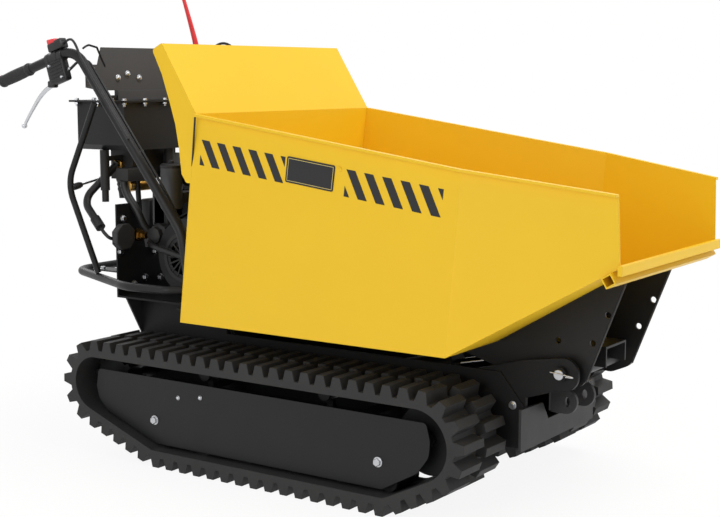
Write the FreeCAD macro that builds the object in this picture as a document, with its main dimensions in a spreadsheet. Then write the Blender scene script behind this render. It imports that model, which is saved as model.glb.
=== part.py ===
import FreeCAD, Part

import math
import os
import re

import Sketcher

Vector = FreeCAD.Vector

# A walk-behind tracked carrier with a hydraulic tipping tray.
# Frame: millimetres, X forward (the tray's chute end), Y to the left, Z up, with the
# ground at Z = 0 and the origin below the middle of the machine.

SIZES = [
    # name, value, what it is
    ("overall_half", 895, "half the length over chute lip and grips"),
    ("seat_gap", 0.3, "clearance between a round piece and its seat"),
    ("pin_gap", 0.1, "radial clearance of a hinge pin in its bore"),
    # rubber tracks
    ("track_half", 365, "outer face of a track from the middle plane"),
    ("track_wide", 180, "width of a track"),
    ("track_gap", 30, "gap between a track and the tub"),
    ("belt_thick", 17, "rubber belt without its lugs"),
    ("lug_high", 24, "height of a lug, which is the belt's height above ground"),
    ("lug_pitch", 43.3, "lug spacing along the belt"),
    ("lug_foot", 32, "lug length at the belt"),
    ("lug_tip", 19, "lug length at its tip"),
    ("lug_lane", 6, "half of the bare strip between the two lug rows"),
    ("sprocket_x", -455, "drive sprocket axis"),
    ("sprocket_z", 180, "drive sprocket axis height"),
    ("sprocket_wrap", 84, "outer belt radius round the sprocket"),
    ("idler_x", 478, "front idler axis"),
    ("idler_z", 168, "front idler axis height"),
    ("idler_wrap", 97, "outer belt radius round the idler"),
    ("ground_rear_x", -262, "rear end of the flat ground run"),
    ("ground_front_x", 390, "front end of the flat ground run"),
    ("ground_wrap", 60, "outer belt radius where the belt leaves the ground"),
    # running gear inside the tracks
    ("guard_inset", 28, "side guard's face, in from the track's face"),
    ("guard_thick", 4, "side guard plate"),
    ("guard_top", 213, "top edge of the side guard"),
    ("guard_low", 50, "bottom edge of the side guard"),
    ("beam_low", 95, "underside of a track beam"),
    ("beam_high", 190, "top of a track beam"),
    ("beam_half", 30, "half width of a track beam"),
    ("beam_rear_x", -340, "rear end of a track beam"),
    ("beam_front_x", 392, "front end of a track beam"),
    ("roller_radius", 24, "ground roller"),
    ("roller_half", 45, "half width of a ground roller"),
    ("roller_step", 128, "spacing of the ground rollers"),
    ("carrier_radius", 16, "upper carrier roller"),
    ("sprocket_teeth", 11, "teeth of a drive sprocket"),
    ("tooth_deep", 12, "depth of a sprocket tooth"),
    ("axle_radius", 15, "drive axle"),
    ("wheel_half", 24, "half width of sprocket and idler"),
    ("cross_tube", 50, "square cross tube between tub and track beam"),
    # chassis tub
    ("tub_half", "=track_half - track_wide - track_gap", "outer face of the tub's side plates"),
    ("tub_plate", 5, "chassis plate thickness"),
    ("tub_low", 136, "underside of the tub"),
    ("tub_high", 300, "top edge of the tub beside the cylinder"),
    ("tub_rear_x", -490, "rear end of the tub"),
    ("tub_front_x", 626, "front end of the tub"),
    ("deck_z", 370, "underside of the engine deck"),
    ("deck_front_x", -205, "front edge of the engine deck"),
    ("deck_reach", 55, "engine deck past the tub's sides"),
    ("deck_half", "=tub_half + deck_reach", "half width of the engine deck"),
    ("deck_rear_x", -525, "rear edge of the engine deck"),
    ("cross_high", 610, "top of the rear cross plate's upstands"),
    ("cross_low", 490, "top of its middle"),
    ("cross_step", 83, "width of an upstand"),
    ("skirt_knee_z", 277, "height at which the rear skirt starts to flare"),
    ("nose_reach", 25, "front cross plate past the tub's sides"),
    ("nose_half", "=tub_half + nose_reach", "half width of the front cross plate"),
    ("nose_high", 229, "top of the front cross plate"),
    ("nose_plate", 6, "front cross plate thickness"),
    ("ear_y", 38, "middle of a tow ear from the middle plane"),
    ("ear_thick", 12, "tow ear plate"),
    ("ear_hole_x", 676, "tow pin hole"),
    ("ear_hole_z", 227, "tow pin hole height"),
    ("ear_hole_radius", 8, "tow pin hole radius"),
    ("ear_radius", 22, "rounded end of a tow ear"),
    # tipping pivot
    ("pivot_x", 710, "tipping axis"),
    ("pivot_z", 313, "tipping axis height"),
    ("pin_radius", 15, "tipping pin"),
    ("pin_reach", 12, "tipping pin past the pivot arm"),
    ("arm_thick", 10, "pivot arm plate"),
    ("arm_radius", 38, "rounded nose of a pivot arm"),
    ("tip_plate_thick", 6, "tipping side plate"),
    ("tip_side_gap", 17, "gap between a tipping side plate and the pivot arm"),
    ("tip_plate_y", "=tub_half - tub_plate - arm_thick - tip_side_gap - tip_plate_thick / 2",
     "middle of a tipping side plate"),
    ("tip_plate_radius", 45, "rounded foot of a tipping side plate"),
    ("tip_hole_radius", 7, "spare bolt holes in a tipping side plate"),
    ("bush_wall", 7, "wall of the pivot bush"),
    ("channel_half", 52, "half width of the channel under the tray"),
    ("channel_high", 45, "height of the channel"),
    ("channel_wall", 5, "wall of the channel"),
    ("channel_rear_x", -150, "rear end of the channel"),
    ("channel_front_x", 766, "front end of the channel"),
    # tray
    ("tray_half", 348, "outer face of the tray's side walls"),
    ("tray_nose_half", 262, "outer face of the side walls at the chute lip"),
    ("tray_wall", 3, "tray sheet"),
    ("floor_z", 360, "underside of the tray floor"),
    ("floor_rear_x", -185, "rear edge of the floor"),
    ("floor_bend_x", 541, "start of the rising chute"),
    ("lip_fold", 10, "folded lip strip past the chute's edge"),
    ("lip_x", "=overall_half - lip_fold", "front edge of the chute"),
    ("lip_z", 564, "underside of the chute at its lip"),
    ("rim_rear_x", -128, "rear corner of the rim"),
    ("rim_rear_z", 850, "height of the rear corner of the rim"),
    ("rim_bend_x", 577, "rim corner where the side walls turn in"),
    ("rim_bend_z", 751, "height of that rim corner"),
    ("rim_front_x", "=lip_x - 5", "front corner of the rim"),
    ("rim_front_z", 709, "height of the front corner of the rim"),
    ("rim_flange", 12, "outward flange along the rim"),
    ("rim_thick", 6, "thickness of the rim flange"),
    ("guard_plate_x", -229, "top edge of the load guard"),
    ("guard_plate_z", 1010, "height of the load guard"),
    ("guard_fold", 28, "depth of the load guard's side webs at its top"),
    ("lip_tube", 24, "square tube under the chute lip"),
    ("lip_tube_wall", 3, "wall of that tube"),
    ("lip_high", 20, "height of the folded lip strip"),
    # hydraulic cylinder
    ("ram_foot_x", -20, "lower pin of the cylinder"),
    ("ram_foot_z", 176, "height of the lower pin"),
    ("ram_eye_x", 530, "upper pin of the cylinder"),
    ("ram_eye_z", 303, "height of the upper pin"),
    ("barrel_radius", 30, "cylinder barrel"),
    ("barrel_bore", 24, "inside of the barrel"),
    ("barrel_long", 380, "barrel from its pin to its gland"),
    ("rod_radius", 12.5, "piston rod"),
    ("piston_long", 30, "piston"),
    ("ram_pin_radius", 10, "cylinder pins"),
    ("ram_eye_radius", 19, "eyes of the cylinder"),
    ("ram_eye_half", 15, "half width of the eyes"),
    ("cheek_gap", 3, "clearance beside the eyes"),
    ("cheek_thick", 8, "cheek plates of the pin brackets"),
    # handlebars and operator's station
    ("bar_y", 250, "handlebar from the middle plane"),
    ("bar_radius", 12.5, "handlebar tube"),
    ("bar_reach", 283, "handlebar's elbow ahead of the grip's end"),
    ("bar_elbow_x", "=bar_reach - overall_half", "elbow above the operator's grips"),
    ("bar_elbow_z", 1004, "height of that elbow"),
    ("bar_knee_x", -262, "knee behind the tray"),
    ("bar_knee_z", 556, "height of that knee"),
    ("bar_foot_x", -232, "foot of the handlebar on the deck"),
    ("grip_end_z", 919, "height of the grip's end"),
    ("grip_radius", 17, "rubber grip"),
    ("grip_long", 125, "rubber grip"),
    ("stay_radius", 8, "stay tube"),
    ("hoop_z", 420, "height of the rear bumper hoop"),
    ("hoop_radius", 10.5, "bumper tube"),
    ("hoop_rear_x", "=bar_elbow_x - 108", "rear bar of the bumper hoop"),
    ("hoop_half", 297, "half width of the bumper hoop"),
    ("panel_x", "=bar_elbow_x + 22", "control panel plate"),
    ("panel_half", 190, "half width of the control panel"),
    ("panel_low", 898, "bottom edge of the control panel"),
    ("panel_high", 1008, "top edge of the control panel"),
    ("panel_thick", 3, "control panel plate"),
    ("panel_wing", 66, "height of the panel's wings"),
    ("panel_block", 135, "half width of the block under the control panel"),
    ("tank_rear_x", "=bar_elbow_x - 71", "rear face of the oil tank"),
    ("tank_front_x", "=bar_elbow_x + 98", "front face of the oil tank"),
    ("tank_half", 180, "half width of the oil tank"),
    ("tank_low", 745, "bottom of the oil tank"),
    ("tank_high", 868, "top of the oil tank"),
    ("tank_lid", 5, "lid plate of the oil tank"),
    ("tank_lid_lip", 15, "lid past the tank's walls"),
    ("tank_bevel", 14, "bevel along the tank's bottom"),
    # engine
    ("engine_x", -345, "crankshaft"),
    ("engine_low", 375, "engine feet on the deck"),
    ("engine_half", 95, "half width of the crankcase"),
    ("engine_long", 200, "crankcase along the machine"),
    ("engine_high", 150, "crankcase height"),
    ("engine_foot", 12, "foot flange of the crankcase"),
    ("cylinder_lean", 25, "lean of the engine's cylinder in degrees"),
    ("cylinder_long", 120, "engine's cylinder"),
    ("cylinder_half", 48, "half width of the engine's cylinder"),
    ("fin_half", 64, "half width of a cooling fin"),
    ("fin_thick", 4, "cooling fin"),
    ("fin_pitch", 11, "spacing of the cooling fins"),
    ("head_high", 30, "rocker cover"),
    ("fan_radius", 98, "fan housing"),
    ("fan_deep", 45, "depth of the fan housing"),
    ("recoil_radius", 66, "pull starter's cover"),
    ("recoil_deep", 15, "depth of the pull starter's cover"),
    ("fuel_low", 656, "underside of the fuel tank"),
    ("fuel_high", 726, "top of the fuel tank"),
    ("fuel_rear_x", -400, "rear face of the fuel tank"),
    ("fuel_front_x", -222, "front face of the fuel tank"),
    ("fuel_half", 95, "half width of the fuel tank"),
    ("filter_radius", 28, "air cleaner"),
    ("filter_x", -405, "air cleaner's axis"),
    ("filter_y", -128, "air cleaner's axis"),
    ("filter_low", 600, "underside of the air cleaner"),
    ("filter_high", 704, "top of the air cleaner"),
    ("muffler_long", 130, "muffler along the machine"),
    ("muffler_wide", 90, "muffler across the machine"),
    ("muffler_high", 100, "height of the muffler"),
    ("gearbox_long", 190, "gearbox along the machine"),
    ("gearbox_half", 80, "half width of the gearbox"),
    ("gearbox_high", 140, "height of the gearbox"),
    # hydraulic valve and its hoses, levers and cables
    ("valve_x", -600, "middle of the valve block"),
    ("valve_long", 80, "valve block along the machine"),
    ("valve_low", 665, "underside of the valve block"),
    ("valve_reach", 105, "right end of the valve block from the middle plane"),
    ("valve_left", 60, "left end of the valve block from the middle plane"),
    ("supply_radius", 10, "supply hose"),
    ("pipe_radius", 4.5, "thin pipe after the supply hose"),
    ("tipping_hose_radius", 7, "hose to the cylinder"),
    ("port_x", 38, "cylinder's oil port"),
    ("port_reach", 40, "face of the oil port from the middle plane"),
    ("cable_radius", 3.5, "clutch cable"),
    ("cable_hole_x", -305, "where the clutch cables enter the deck"),
    ("cable_hole_y", 190, "where the clutch cables enter the deck"),
    ("clamp_radius", 17, "clutch lever's clamp on the handlebar"),
    ("blade_radius", 5, "clutch lever's blade"),
    ("lever_y", 98, "tipping lever's foot"),
    ("lever_rise", 80, "tipping lever's stem above the tank's lid"),
    ("lever_grip", 197, "height of the tipping lever's handle"),
    ("lever_lean", 60, "how far the tipping lever's handle leans inwards"),
    ("lever_wide", 18, "tipping lever's handle"),
]

NAMES = {name for name, value, meaning in SIZES}

doc = FreeCAD.newDocument("crawler_carrier")
sizes = doc.addObject("Spreadsheet::Sheet", "sizes")
for row, (name, value, meaning) in enumerate(SIZES, start=1):
    sizes.set("A%d" % row, str(value))
    sizes.set("B%d" % row, meaning)
    sizes.setAlias("A%d" % row, name)
doc.recompute()

nodes = []


def amount(text):
    """The number that a formula of the sheet's names gives."""
    return float(sizes.evalExpression(str(text)))


def formula(text):
    """A formula of the sheet's names as another object writes it."""
    return re.sub(r"[a-z_]+", lambda word: "sizes." + word.group()
                  if word.group() in NAMES else word.group(), str(text))


def bind(obj, **properties):
    for name, text in properties.items():
        obj.setExpression(name, formula(text))
    return obj


def put(obj, x=0, y=0, z=0, turn=None):
    """Place an object by three formulas, turned first where it lies across the machine."""
    if turn:
        obj.Placement = FreeCAD.Placement(Vector(0, 0, 0), turn)
    for axis, text in zip("xyz", (x, y, z)):
        obj.setExpression(".Placement.Base." + axis, formula(text))
    return obj


def keep(obj, label):
    """Name a finished piece, which gives its file's name."""
    obj.Label = label
    nodes.append(obj)
    return obj


TURNS = {
    "X": FreeCAD.Rotation(Vector(0, 1, 0), 90),
    "Y": FreeCAD.Rotation(Vector(1, 0, 0), -90),
    "Z": FreeCAD.Rotation(),
}


def block(name, low, size):
    """A box by its low corner and its three sides."""
    box = doc.addObject("Part::Box", name)
    bind(box, Length=size[0], Width=size[1], Height=size[2])
    return put(box, *low)


def bar(name, axis, start, radius, long):
    """A round bar along one axis from its start point."""
    cylinder = doc.addObject("Part::Cylinder", name)
    bind(cylinder, Radius=radius, Height=long)
    return put(cylinder, *start, turn=TURNS[axis])


def fuse(name, *shapes):
    joined = doc.addObject("Part::MultiFuse", name)
    joined.Shapes = list(shapes)
    joined.Refine = True
    return joined


def cut(name, base, *tools):
    tool = tools[0] if len(tools) == 1 else fuse(name + "_tools", *tools)
    rest = doc.addObject("Part::Cut", name)
    rest.Base = base
    rest.Tool = tool
    return rest


def common(name, base, tool):
    both = doc.addObject("Part::Common", name)
    both.Base = base
    both.Tool = tool
    return both


def profile(name, plane, outline, thick, middle=0, holes=(), rounds=None):
    """A plate or bar: an outline on a body's own plane, padded both ways from the middle.

    outline lists the corners as two formulas each, holes their centre and radius, and
    rounds gives a corner's number and its radius."""
    body = doc.addObject("PartDesign::Body", name)
    sketch = body.newObject("Sketcher::SketchObject", name + "_outline")
    support = [f for f in body.Origin.OriginFeatures if f.Role == plane + "_Plane"][0]
    sketch.AttachmentSupport = [(support, "")]
    sketch.MapMode = "FlatFace"
    corners = [(amount(u), amount(v)) for u, v in outline]
    count = len(corners)
    for index, corner in enumerate(corners):
        following = corners[(index + 1) % count]
        sketch.addGeometry(Part.LineSegment(Vector(*corner, 0), Vector(*following, 0)), False)
    for index, (u, v) in enumerate(outline):
        sketch.addConstraint(Sketcher.Constraint("Coincident", index, 2, (index + 1) % count, 1))
        for kind, text, number in (("DistanceX", u, corners[index][0]),
                                   ("DistanceY", v, corners[index][1])):
            place = sketch.addConstraint(Sketcher.Constraint(kind, -1, 1, index, 1, number))
            sketch.setExpression("Constraints[%d]" % place, formula(text))
    for number, (u, v, radius) in enumerate(holes):
        centre = Vector(amount(u), amount(v), 0)
        ring = count + number
        sketch.addGeometry(Part.Circle(centre, Vector(0, 0, 1), amount(radius)), False)
        for kind, text, start in (("DistanceX", u, centre.x), ("DistanceY", v, centre.y)):
            place = sketch.addConstraint(Sketcher.Constraint(kind, -1, 1, ring, 3, start))
            sketch.setExpression("Constraints[%d]" % place, formula(text))
        place = sketch.addConstraint(Sketcher.Constraint("Radius", ring, amount(radius)))
        sketch.setExpression("Constraints[%d]" % place, formula(radius))
    pad = body.newObject("PartDesign::Pad", name + "_pad")
    pad.Profile = sketch
    pad.SideType = "Symmetric"
    bind(pad, Length=thick)
    offset = {"XZ": "y", "YZ": "x", "XY": "z"}[plane]
    body.setExpression(".Placement.Base." + offset, formula(middle))
    doc.recompute()
    by_radius = {}
    for index, radius in (rounds or {}).items():
        by_radius.setdefault(radius, []).append(corners[index])
    for step, (radius, places) in enumerate(by_radius.items()):
        edges = corner_edges(body, pad.Shape, plane, places)
        fillet = body.newObject("PartDesign::Fillet", "%s_round_%d" % (name, step))
        fillet.Base = (pad, edges)
        bind(fillet, Radius=radius)
        doc.recompute()
        pad = fillet
    return body


def corner_edges(body, shape, plane, places):
    """The names of the edges that run across a plate at the given corners."""
    first, second, across = {"XZ": (0, 2, 1), "YZ": (1, 2, 0), "XY": (0, 1, 2)}[plane]
    found = []
    for number, edge in enumerate(shape.Edges, start=1):
        ends = [vertex.Point for vertex in edge.Vertexes]
        if len(ends) < 2 or abs(ends[0][across] - ends[1][across]) < 0.01:
            continue
        for u, v in places:
            if all(abs(end[first] - u) < 0.01 and abs(end[second] - v) < 0.01 for end in ends):
                found.append("Edge%d" % number)
    return found


def wire_path(points, radii):
    """Straight runs joined by tangent arcs, one radius for each inner point."""
    edges = []
    last = points[0]
    for index in range(1, len(points) - 1):
        corner = points[index]
        before = (points[index - 1] - corner).normalize()
        after = (points[index + 1] - corner).normalize()
        turn = math.pi - before.getAngle(after)
        reach = radii[index - 1] * math.tan(turn / 2)
        start = corner + before * reach
        end = corner + after * reach
        half_way = (before + after).normalize()
        depth = radii[index - 1] / math.cos(turn / 2) - radii[index - 1]
        edges.append(Part.LineSegment(last, start).toShape())
        edges.append(Part.Arc(start, corner + half_way * depth, end).toShape())
        last = end
    edges.append(Part.LineSegment(last, points[-1]).toShape())
    return Part.Wire(edges)


def bent_tube(name, route, bend, radius):
    """A tube bent in runs and arcs: a section swept along a path."""
    points = [Vector(*(amount(text) for text in place)) for place in route]
    bends = bend if isinstance(bend, (list, tuple)) else [bend] * (len(points) - 2)
    path = doc.addObject("Part::Feature", name + "_path")
    path.Shape = wire_path(points, [amount(text) for text in bends])
    section = doc.addObject("Part::Circle", name + "_section")
    bind(section, Radius=radius)
    heading = (points[1] - points[0]).normalize()
    section.Placement = FreeCAD.Placement(points[0], FreeCAD.Rotation(Vector(0, 0, 1), heading))
    sweep = doc.addObject("Part::Sweep", name)
    sweep.Sections = [section]
    sweep.Spine = (path, ["Edge%d" % (n + 1) for n in range(len(path.Shape.Edges))])
    sweep.Solid = True
    sweep.Transition = "Right corner"
    return sweep


# Rubber tracks: one closed loop each, with two rows of lugs half a pitch apart.
# The loop wraps the sprocket, the idler and the two ends of the ground run.

def belt_stations():
    """The wrapped circles, in the order that the belt passes them: over the top forwards."""
    ground = amount("lug_high + ground_wrap")
    return [
        (amount("sprocket_x"), amount("sprocket_z"), amount("sprocket_wrap")),
        (amount("idler_x"), amount("idler_z"), amount("idler_wrap")),
        (amount("ground_front_x"), ground, amount("ground_wrap")),
        (amount("ground_rear_x"), ground, amount("ground_wrap")),
    ]


def belt_runs(inset):
    """Straight runs and arcs of the loop, the given depth inside the belt's outer face."""
    circles = [(x, z, wrap - inset) for x, z, wrap in belt_stations()]
    tangents = []
    for index, (x, z, wrap) in enumerate(circles):
        next_x, next_z, next_wrap = circles[(index + 1) % len(circles)]
        apart = math.hypot(next_x - x, next_z - z)
        heading = math.atan2(next_z - z, next_x - x)
        lean = heading + math.pi / 2 - math.asin((next_wrap - wrap) / apart) * -1
        out = (math.cos(lean), math.sin(lean))
        tangents.append(((x + wrap * out[0], z + wrap * out[1]),
                         (next_x + next_wrap * out[0], next_z + next_wrap * out[1]), lean))
    runs = []
    for index, (start, end, lean) in enumerate(tangents):
        runs.append(("run", start, end, lean))
        centre_x, centre_z, wrap = circles[(index + 1) % len(circles)]
        next_lean = tangents[(index + 1) % len(tangents)][2]
        sweep = (lean - next_lean) % (2 * math.pi)
        runs.append(("arc", (centre_x, centre_z), wrap, lean, sweep))
    return runs


def along_belt(runs, distance):
    """The point and the outward direction at a distance along the belt's outer face."""
    total = sum(run_length(run) for run in runs)
    left = distance % total
    for run in runs:
        long = run_length(run)
        if left <= long:
            if run[0] == "run":
                part = left / long
                (x0, z0), (x1, z1), lean = run[1:]
                return (x0 + (x1 - x0) * part, z0 + (z1 - z0) * part), lean
            (x, z), wrap, lean, sweep = run[1:]
            here = lean - left / wrap
            return (x + wrap * math.cos(here), z + wrap * math.sin(here)), here
        left -= long
    return along_belt(runs, 0)


def run_length(run):
    if run[0] == "run":
        return math.dist(run[1], run[2])
    return run[2] * run[4]


def lug_row(low_y, wide, shift):
    """One row's closed outline with its lugs, padded across the belt and hollowed."""
    outer = belt_runs(0)
    total = sum(run_length(run) for run in outer)
    count = round(total / amount("lug_pitch"))
    foot = amount("lug_foot") / 2
    tip = amount("lug_tip") / 2
    high = amount("lug_high")
    corners = []
    for number in range(count):
        middle = (number + shift) * total / count
        for reach, lift in ((-foot, 0), (-tip, high), (tip, high), (foot, 0)):
            if lift:
                (x, z), lean = along_belt(outer, middle)
                side = (math.sin(lean), -math.cos(lean))
                x += lift * math.cos(lean) + reach * side[0]
                z += lift * math.sin(lean) + reach * side[1]
            else:
                (x, z), lean = along_belt(outer, middle + reach)
            corners.append(Vector(x, low_y, z))
    outside = Part.makePolygon(corners + corners[:1])
    inside = Part.Wire(inner_edges(low_y))
    face = Part.makeFace([outside, inside], "Part::FaceMakerBullseye")
    return face.extrude(Vector(0, wide, 0))


def inner_edges(low_y):
    edges = []
    for run in belt_runs(amount("belt_thick")):
        if run[0] == "run":
            start, end = (Vector(place[0], low_y, place[1]) for place in run[1:3])
            edges.append(Part.LineSegment(start, end).toShape())
        else:
            (x, z), wrap, lean, sweep = run[1:]
            places = [Vector(x + wrap * math.cos(lean - sweep * part), low_y,
                             z + wrap * math.sin(lean - sweep * part)) for part in (0, 0.5, 1)]
            edges.append(Part.Arc(*places).toShape())
    return edges


def track(side, label):
    """A track on one side: two lug rows and the bare lane between them, as one piece."""
    inner = amount("track_half - track_wide")
    middle = amount("track_half - track_wide / 2")
    lane = amount("lug_lane")
    row_wide = amount("track_wide / 2 - lug_lane")
    lane_outline = Part.Wire(outer_edges(middle - lane))
    lane_face = Part.makeFace([lane_outline, Part.Wire(inner_edges(middle - lane))],
                              "Part::FaceMakerBullseye")
    rows = lug_row(inner, row_wide, 0.5).fuse([
        lane_face.extrude(Vector(0, 2 * lane, 0)), lug_row(middle + lane, row_wide, 0)])
    if side < 0:
        rows = rows.mirror(Vector(0, 0, 0), Vector(0, 1, 0))
    loop = doc.addObject("Part::Feature", label)
    loop.Shape = rows.Solids[0]
    keep(loop, label)


def outer_edges(low_y):
    edges = []
    for run in belt_runs(0):
        if run[0] == "run":
            start, end = (Vector(place[0], low_y, place[1]) for place in run[1:3])
            edges.append(Part.LineSegment(start, end).toShape())
        else:
            (x, z), wrap, lean, sweep = run[1:]
            places = [Vector(x + wrap * math.cos(lean - sweep * part), low_y,
                             z + wrap * math.sin(lean - sweep * part)) for part in (0, 0.5, 1)]
            edges.append(Part.Arc(*places).toShape())
    return edges


SIDES = ((1, "left"), (-1, "right"))

for side, hand in SIDES:
    track(side, "track_" + hand)

# Side guards: a black plate on each side, inside the belt's outer face.
GUARD_OUTLINE = [
    ("beam_rear_x - 129", "guard_top"),
    ("idler_x + 12", "guard_top"),
    ("idler_x + 22", "guard_top - 37"),
    ("idler_x + 20", "guard_top - 73"),
    ("idler_x - 10", "guard_top - 113"),
    ("idler_x - 100", "guard_low"),
    ("ground_rear_x - 14", "guard_low"),
    ("sprocket_x + 13", "guard_top - 103"),
    ("sprocket_x - 14", "guard_top - 75"),
    ("sprocket_x - 22", "guard_top - 45"),
]
SPACERS = [("ground_rear_x - 29", 112), ("beam_front_x - 26", 112)]

for side, hand in SIDES:
    plate = profile("side_guard_" + hand, "XZ", GUARD_OUTLINE, "guard_thick",
                    "%d * (track_half - guard_inset - guard_thick / 2)" % side,
                    rounds={0: 12, 1: 10, 2: 30, 3: 40, 4: 30, 7: 25, 8: 25})
    keep(plate, "side_guard_" + hand)

# Track beams with ground rollers, carrier rollers and the guard's spacers.
BEAM_Y = "(track_half - track_wide / 2)"
CROSS_X = ("beam_rear_x + 140", "beam_front_x - 130")


def across(side, middle, half):
    """Low Y and width of a piece that lies half each way of a distance from the middle."""
    return "%d * %s - (%s)" % (side, middle, half), "2 * (%s)" % half


for side, hand in SIDES:
    low, wide = across(side, BEAM_Y, "beam_half")
    pieces = [block("beam_" + hand, ("beam_rear_x", low, "beam_low"),
                    ("beam_front_x - beam_rear_x", wide, "beam_high - beam_low"))]
    roller_z = "lug_high + belt_thick + seat_gap + roller_radius"
    low_roller, wide_roller = across(side, BEAM_Y, "roller_half")
    low_web, wide_web = across(side, BEAM_Y, 6)
    for number in range(6):
        x = "ground_rear_x + 6 + %d * roller_step" % number
        pieces.append(bar("roller_%s_%d" % (hand, number), "Y", (x, low_roller, roller_z),
                          "roller_radius", wide_roller))
        pieces.append(block("hanger_%s_%d" % (hand, number),
                            (x + " - 12", low_web, roller_z),
                            ("24", wide_web, "beam_low - (%s)" % roller_z)))
    carrier_z = "sprocket_z + sprocket_wrap - belt_thick - seat_gap - carrier_radius"
    low_carrier, wide_carrier = across(side, BEAM_Y, 30)
    for number, x in enumerate(("beam_rear_x + 190", "beam_front_x - 190")):
        pieces.append(bar("carrier_%s_%d" % (hand, number), "Y", (x, low_carrier, carrier_z),
                          "carrier_radius", wide_carrier))
        pieces.append(block("post_%s_%d" % (hand, number), (x + " - 8", low_web, "beam_high"),
                            ("16", wide_web, carrier_z + " - beam_high")))
    for number, (x, z) in enumerate(SPACERS):
        face = "track_half - guard_inset - guard_thick"
        start = BEAM_Y + " + beam_half" if side > 0 else "-(%s)" % face
        pieces.append(bar("spacer_%s_%d" % (hand, number), "Y", (x, start, z), 12,
                          "(%s) - %s - beam_half" % (face, BEAM_Y)))
    low_wheel, wide_wheel = across(side, BEAM_Y, "wheel_half")
    pieces.append(bar("idler_" + hand, "Y", ("idler_x", low_wheel, "idler_z"),
                      "idler_wrap - belt_thick - seat_gap", wide_wheel))
    low_pin, wide_pin = across(side, BEAM_Y, "wheel_half + 10")
    pieces.append(bar("idler_pin_" + hand, "Y", ("idler_x", low_pin, "idler_z"), "axle_radius",
                      wide_pin))
    for inner in (-1, 1):
        middle = "%d * %s + %d * (wheel_half + 5)" % (side, BEAM_Y, inner)
        pieces.append(block("fork_%s_%d" % (hand, inner),
                            ("beam_front_x - 10", middle + " - 3", "idler_z - 20"),
                            ("idler_x - beam_front_x + 10", "6", "40")))
    reach = "%s - beam_half - tub_half" % BEAM_Y
    start = "tub_half" if side > 0 else "-tub_half - (%s)" % reach
    for number, x in enumerate(CROSS_X):
        pieces.append(block("cross_%s_%d" % (hand, number), (x, start, "tub_low + 4"),
                            ("cross_tube", reach, "cross_tube")))
    keep(fuse("track_frame_" + hand, *pieces), "track_frame_" + hand)

# Drive sprockets on their axle.
axle_half = "(%s + wheel_half)" % BEAM_Y


def sprocket_corners():
    """A toothed wheel's outline: each tooth has a flat tip that seats inside the belt."""
    count = int(amount("sprocket_teeth"))
    tip = "(sprocket_wrap - belt_thick - seat_gap)"
    corners = []
    for tooth in range(count):
        for share, radius in ((0, tip), (0.3, tip), (0.42, tip + " - tooth_deep"),
                              (0.88, tip + " - tooth_deep")):
            turn = "(%s * 360 / sprocket_teeth)" % (tooth + share)
            corners.append(("sprocket_x + (%s) * cos(%s)" % (radius, turn),
                            "sprocket_z + (%s) * sin(%s)" % (radius, turn)))
    return corners


axle = [bar("axle_bar", "Y", ("sprocket_x", "-" + axle_half, "sprocket_z"), "axle_radius",
            "2 * " + axle_half)]
for side, hand in SIDES:
    low, wide = across(side, BEAM_Y, "wheel_half")
    axle.append(profile("sprocket_" + hand, "XZ", sprocket_corners(), wide,
                        "%d * %s" % (side, BEAM_Y)))
keep(fuse("drive_axle", *axle), "drive_axle")

# Chassis tub: side plates, floor, engine deck, rear skirt and front cross plate.
TUB_SIDE = [
    ("tub_rear_x", "tub_low"),
    ("tub_front_x", "tub_low"),
    ("tub_front_x", "nose_high"),
    ("tub_front_x - 60", "tub_high"),
    ("deck_front_x", "tub_high"),
    ("deck_front_x", "deck_z"),
    ("tub_rear_x", "deck_z"),
]
ARM_OUTLINE = [
    ("tub_front_x - 120", "tub_low + 20"),
    ("tub_front_x", "tub_low + 20"),
    ("tub_front_x", "nose_high + 20"),
    ("pivot_x - 6", "pivot_z - arm_radius"),
    ("pivot_x + arm_radius", "pivot_z - arm_radius"),
    ("pivot_x + arm_radius", "pivot_z + arm_radius"),
    ("tub_front_x", "pivot_z + 20"),
    ("tub_front_x - 120", "tub_high"),
]
for side, hand in SIDES:
    plate = profile("tub_plate_" + hand, "XZ", TUB_SIDE, "tub_plate",
                    "%d * (tub_half - tub_plate / 2)" % side,
                    holes=[("sprocket_x", "sprocket_z", "axle_radius + seat_gap")])
    arm = profile("pivot_arm_" + hand, "XZ", ARM_OUTLINE, "arm_thick",
                  "%d * (tub_half - tub_plate - arm_thick / 2)" % side,
                  holes=[("pivot_x", "pivot_z", "pin_radius")],
                  rounds={4: "arm_radius - 5", 5: "arm_radius - 5"})
    keep(fuse("tub_side_" + hand, plate, arm), "tub_side_" + hand)
floor = block("floor_plate", ("tub_rear_x", "-tub_half + tub_plate", "tub_low"),
              ("tub_front_x - tub_rear_x", "2 * (tub_half - tub_plate)", "tub_plate"))
skirt = profile("rear_skirt", "YZ", [
    ("-tub_half", "tub_low"), ("tub_half", "tub_low"), ("tub_half + 3", "skirt_knee_z"),
    ("deck_half", "deck_z"), ("-deck_half", "deck_z"), ("-tub_half - 3", "skirt_knee_z")],
    "tub_plate", "tub_rear_x - tub_plate / 2")
nose = profile("nose_plate", "YZ", [
    ("-nose_half", "tub_low"), ("nose_half", "tub_low"), ("nose_half", "nose_high"),
    ("ear_y + 41", "nose_high - 3"), ("ear_y + 14", "nose_high - 44"),
    ("-ear_y - 14", "nose_high - 44"), ("-ear_y - 41", "nose_high - 3"),
    ("-nose_half", "nose_high")], "nose_plate", "tub_front_x + nose_plate / 2")
cheek_y = "(ram_eye_half + cheek_gap + cheek_thick / 2)"
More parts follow.
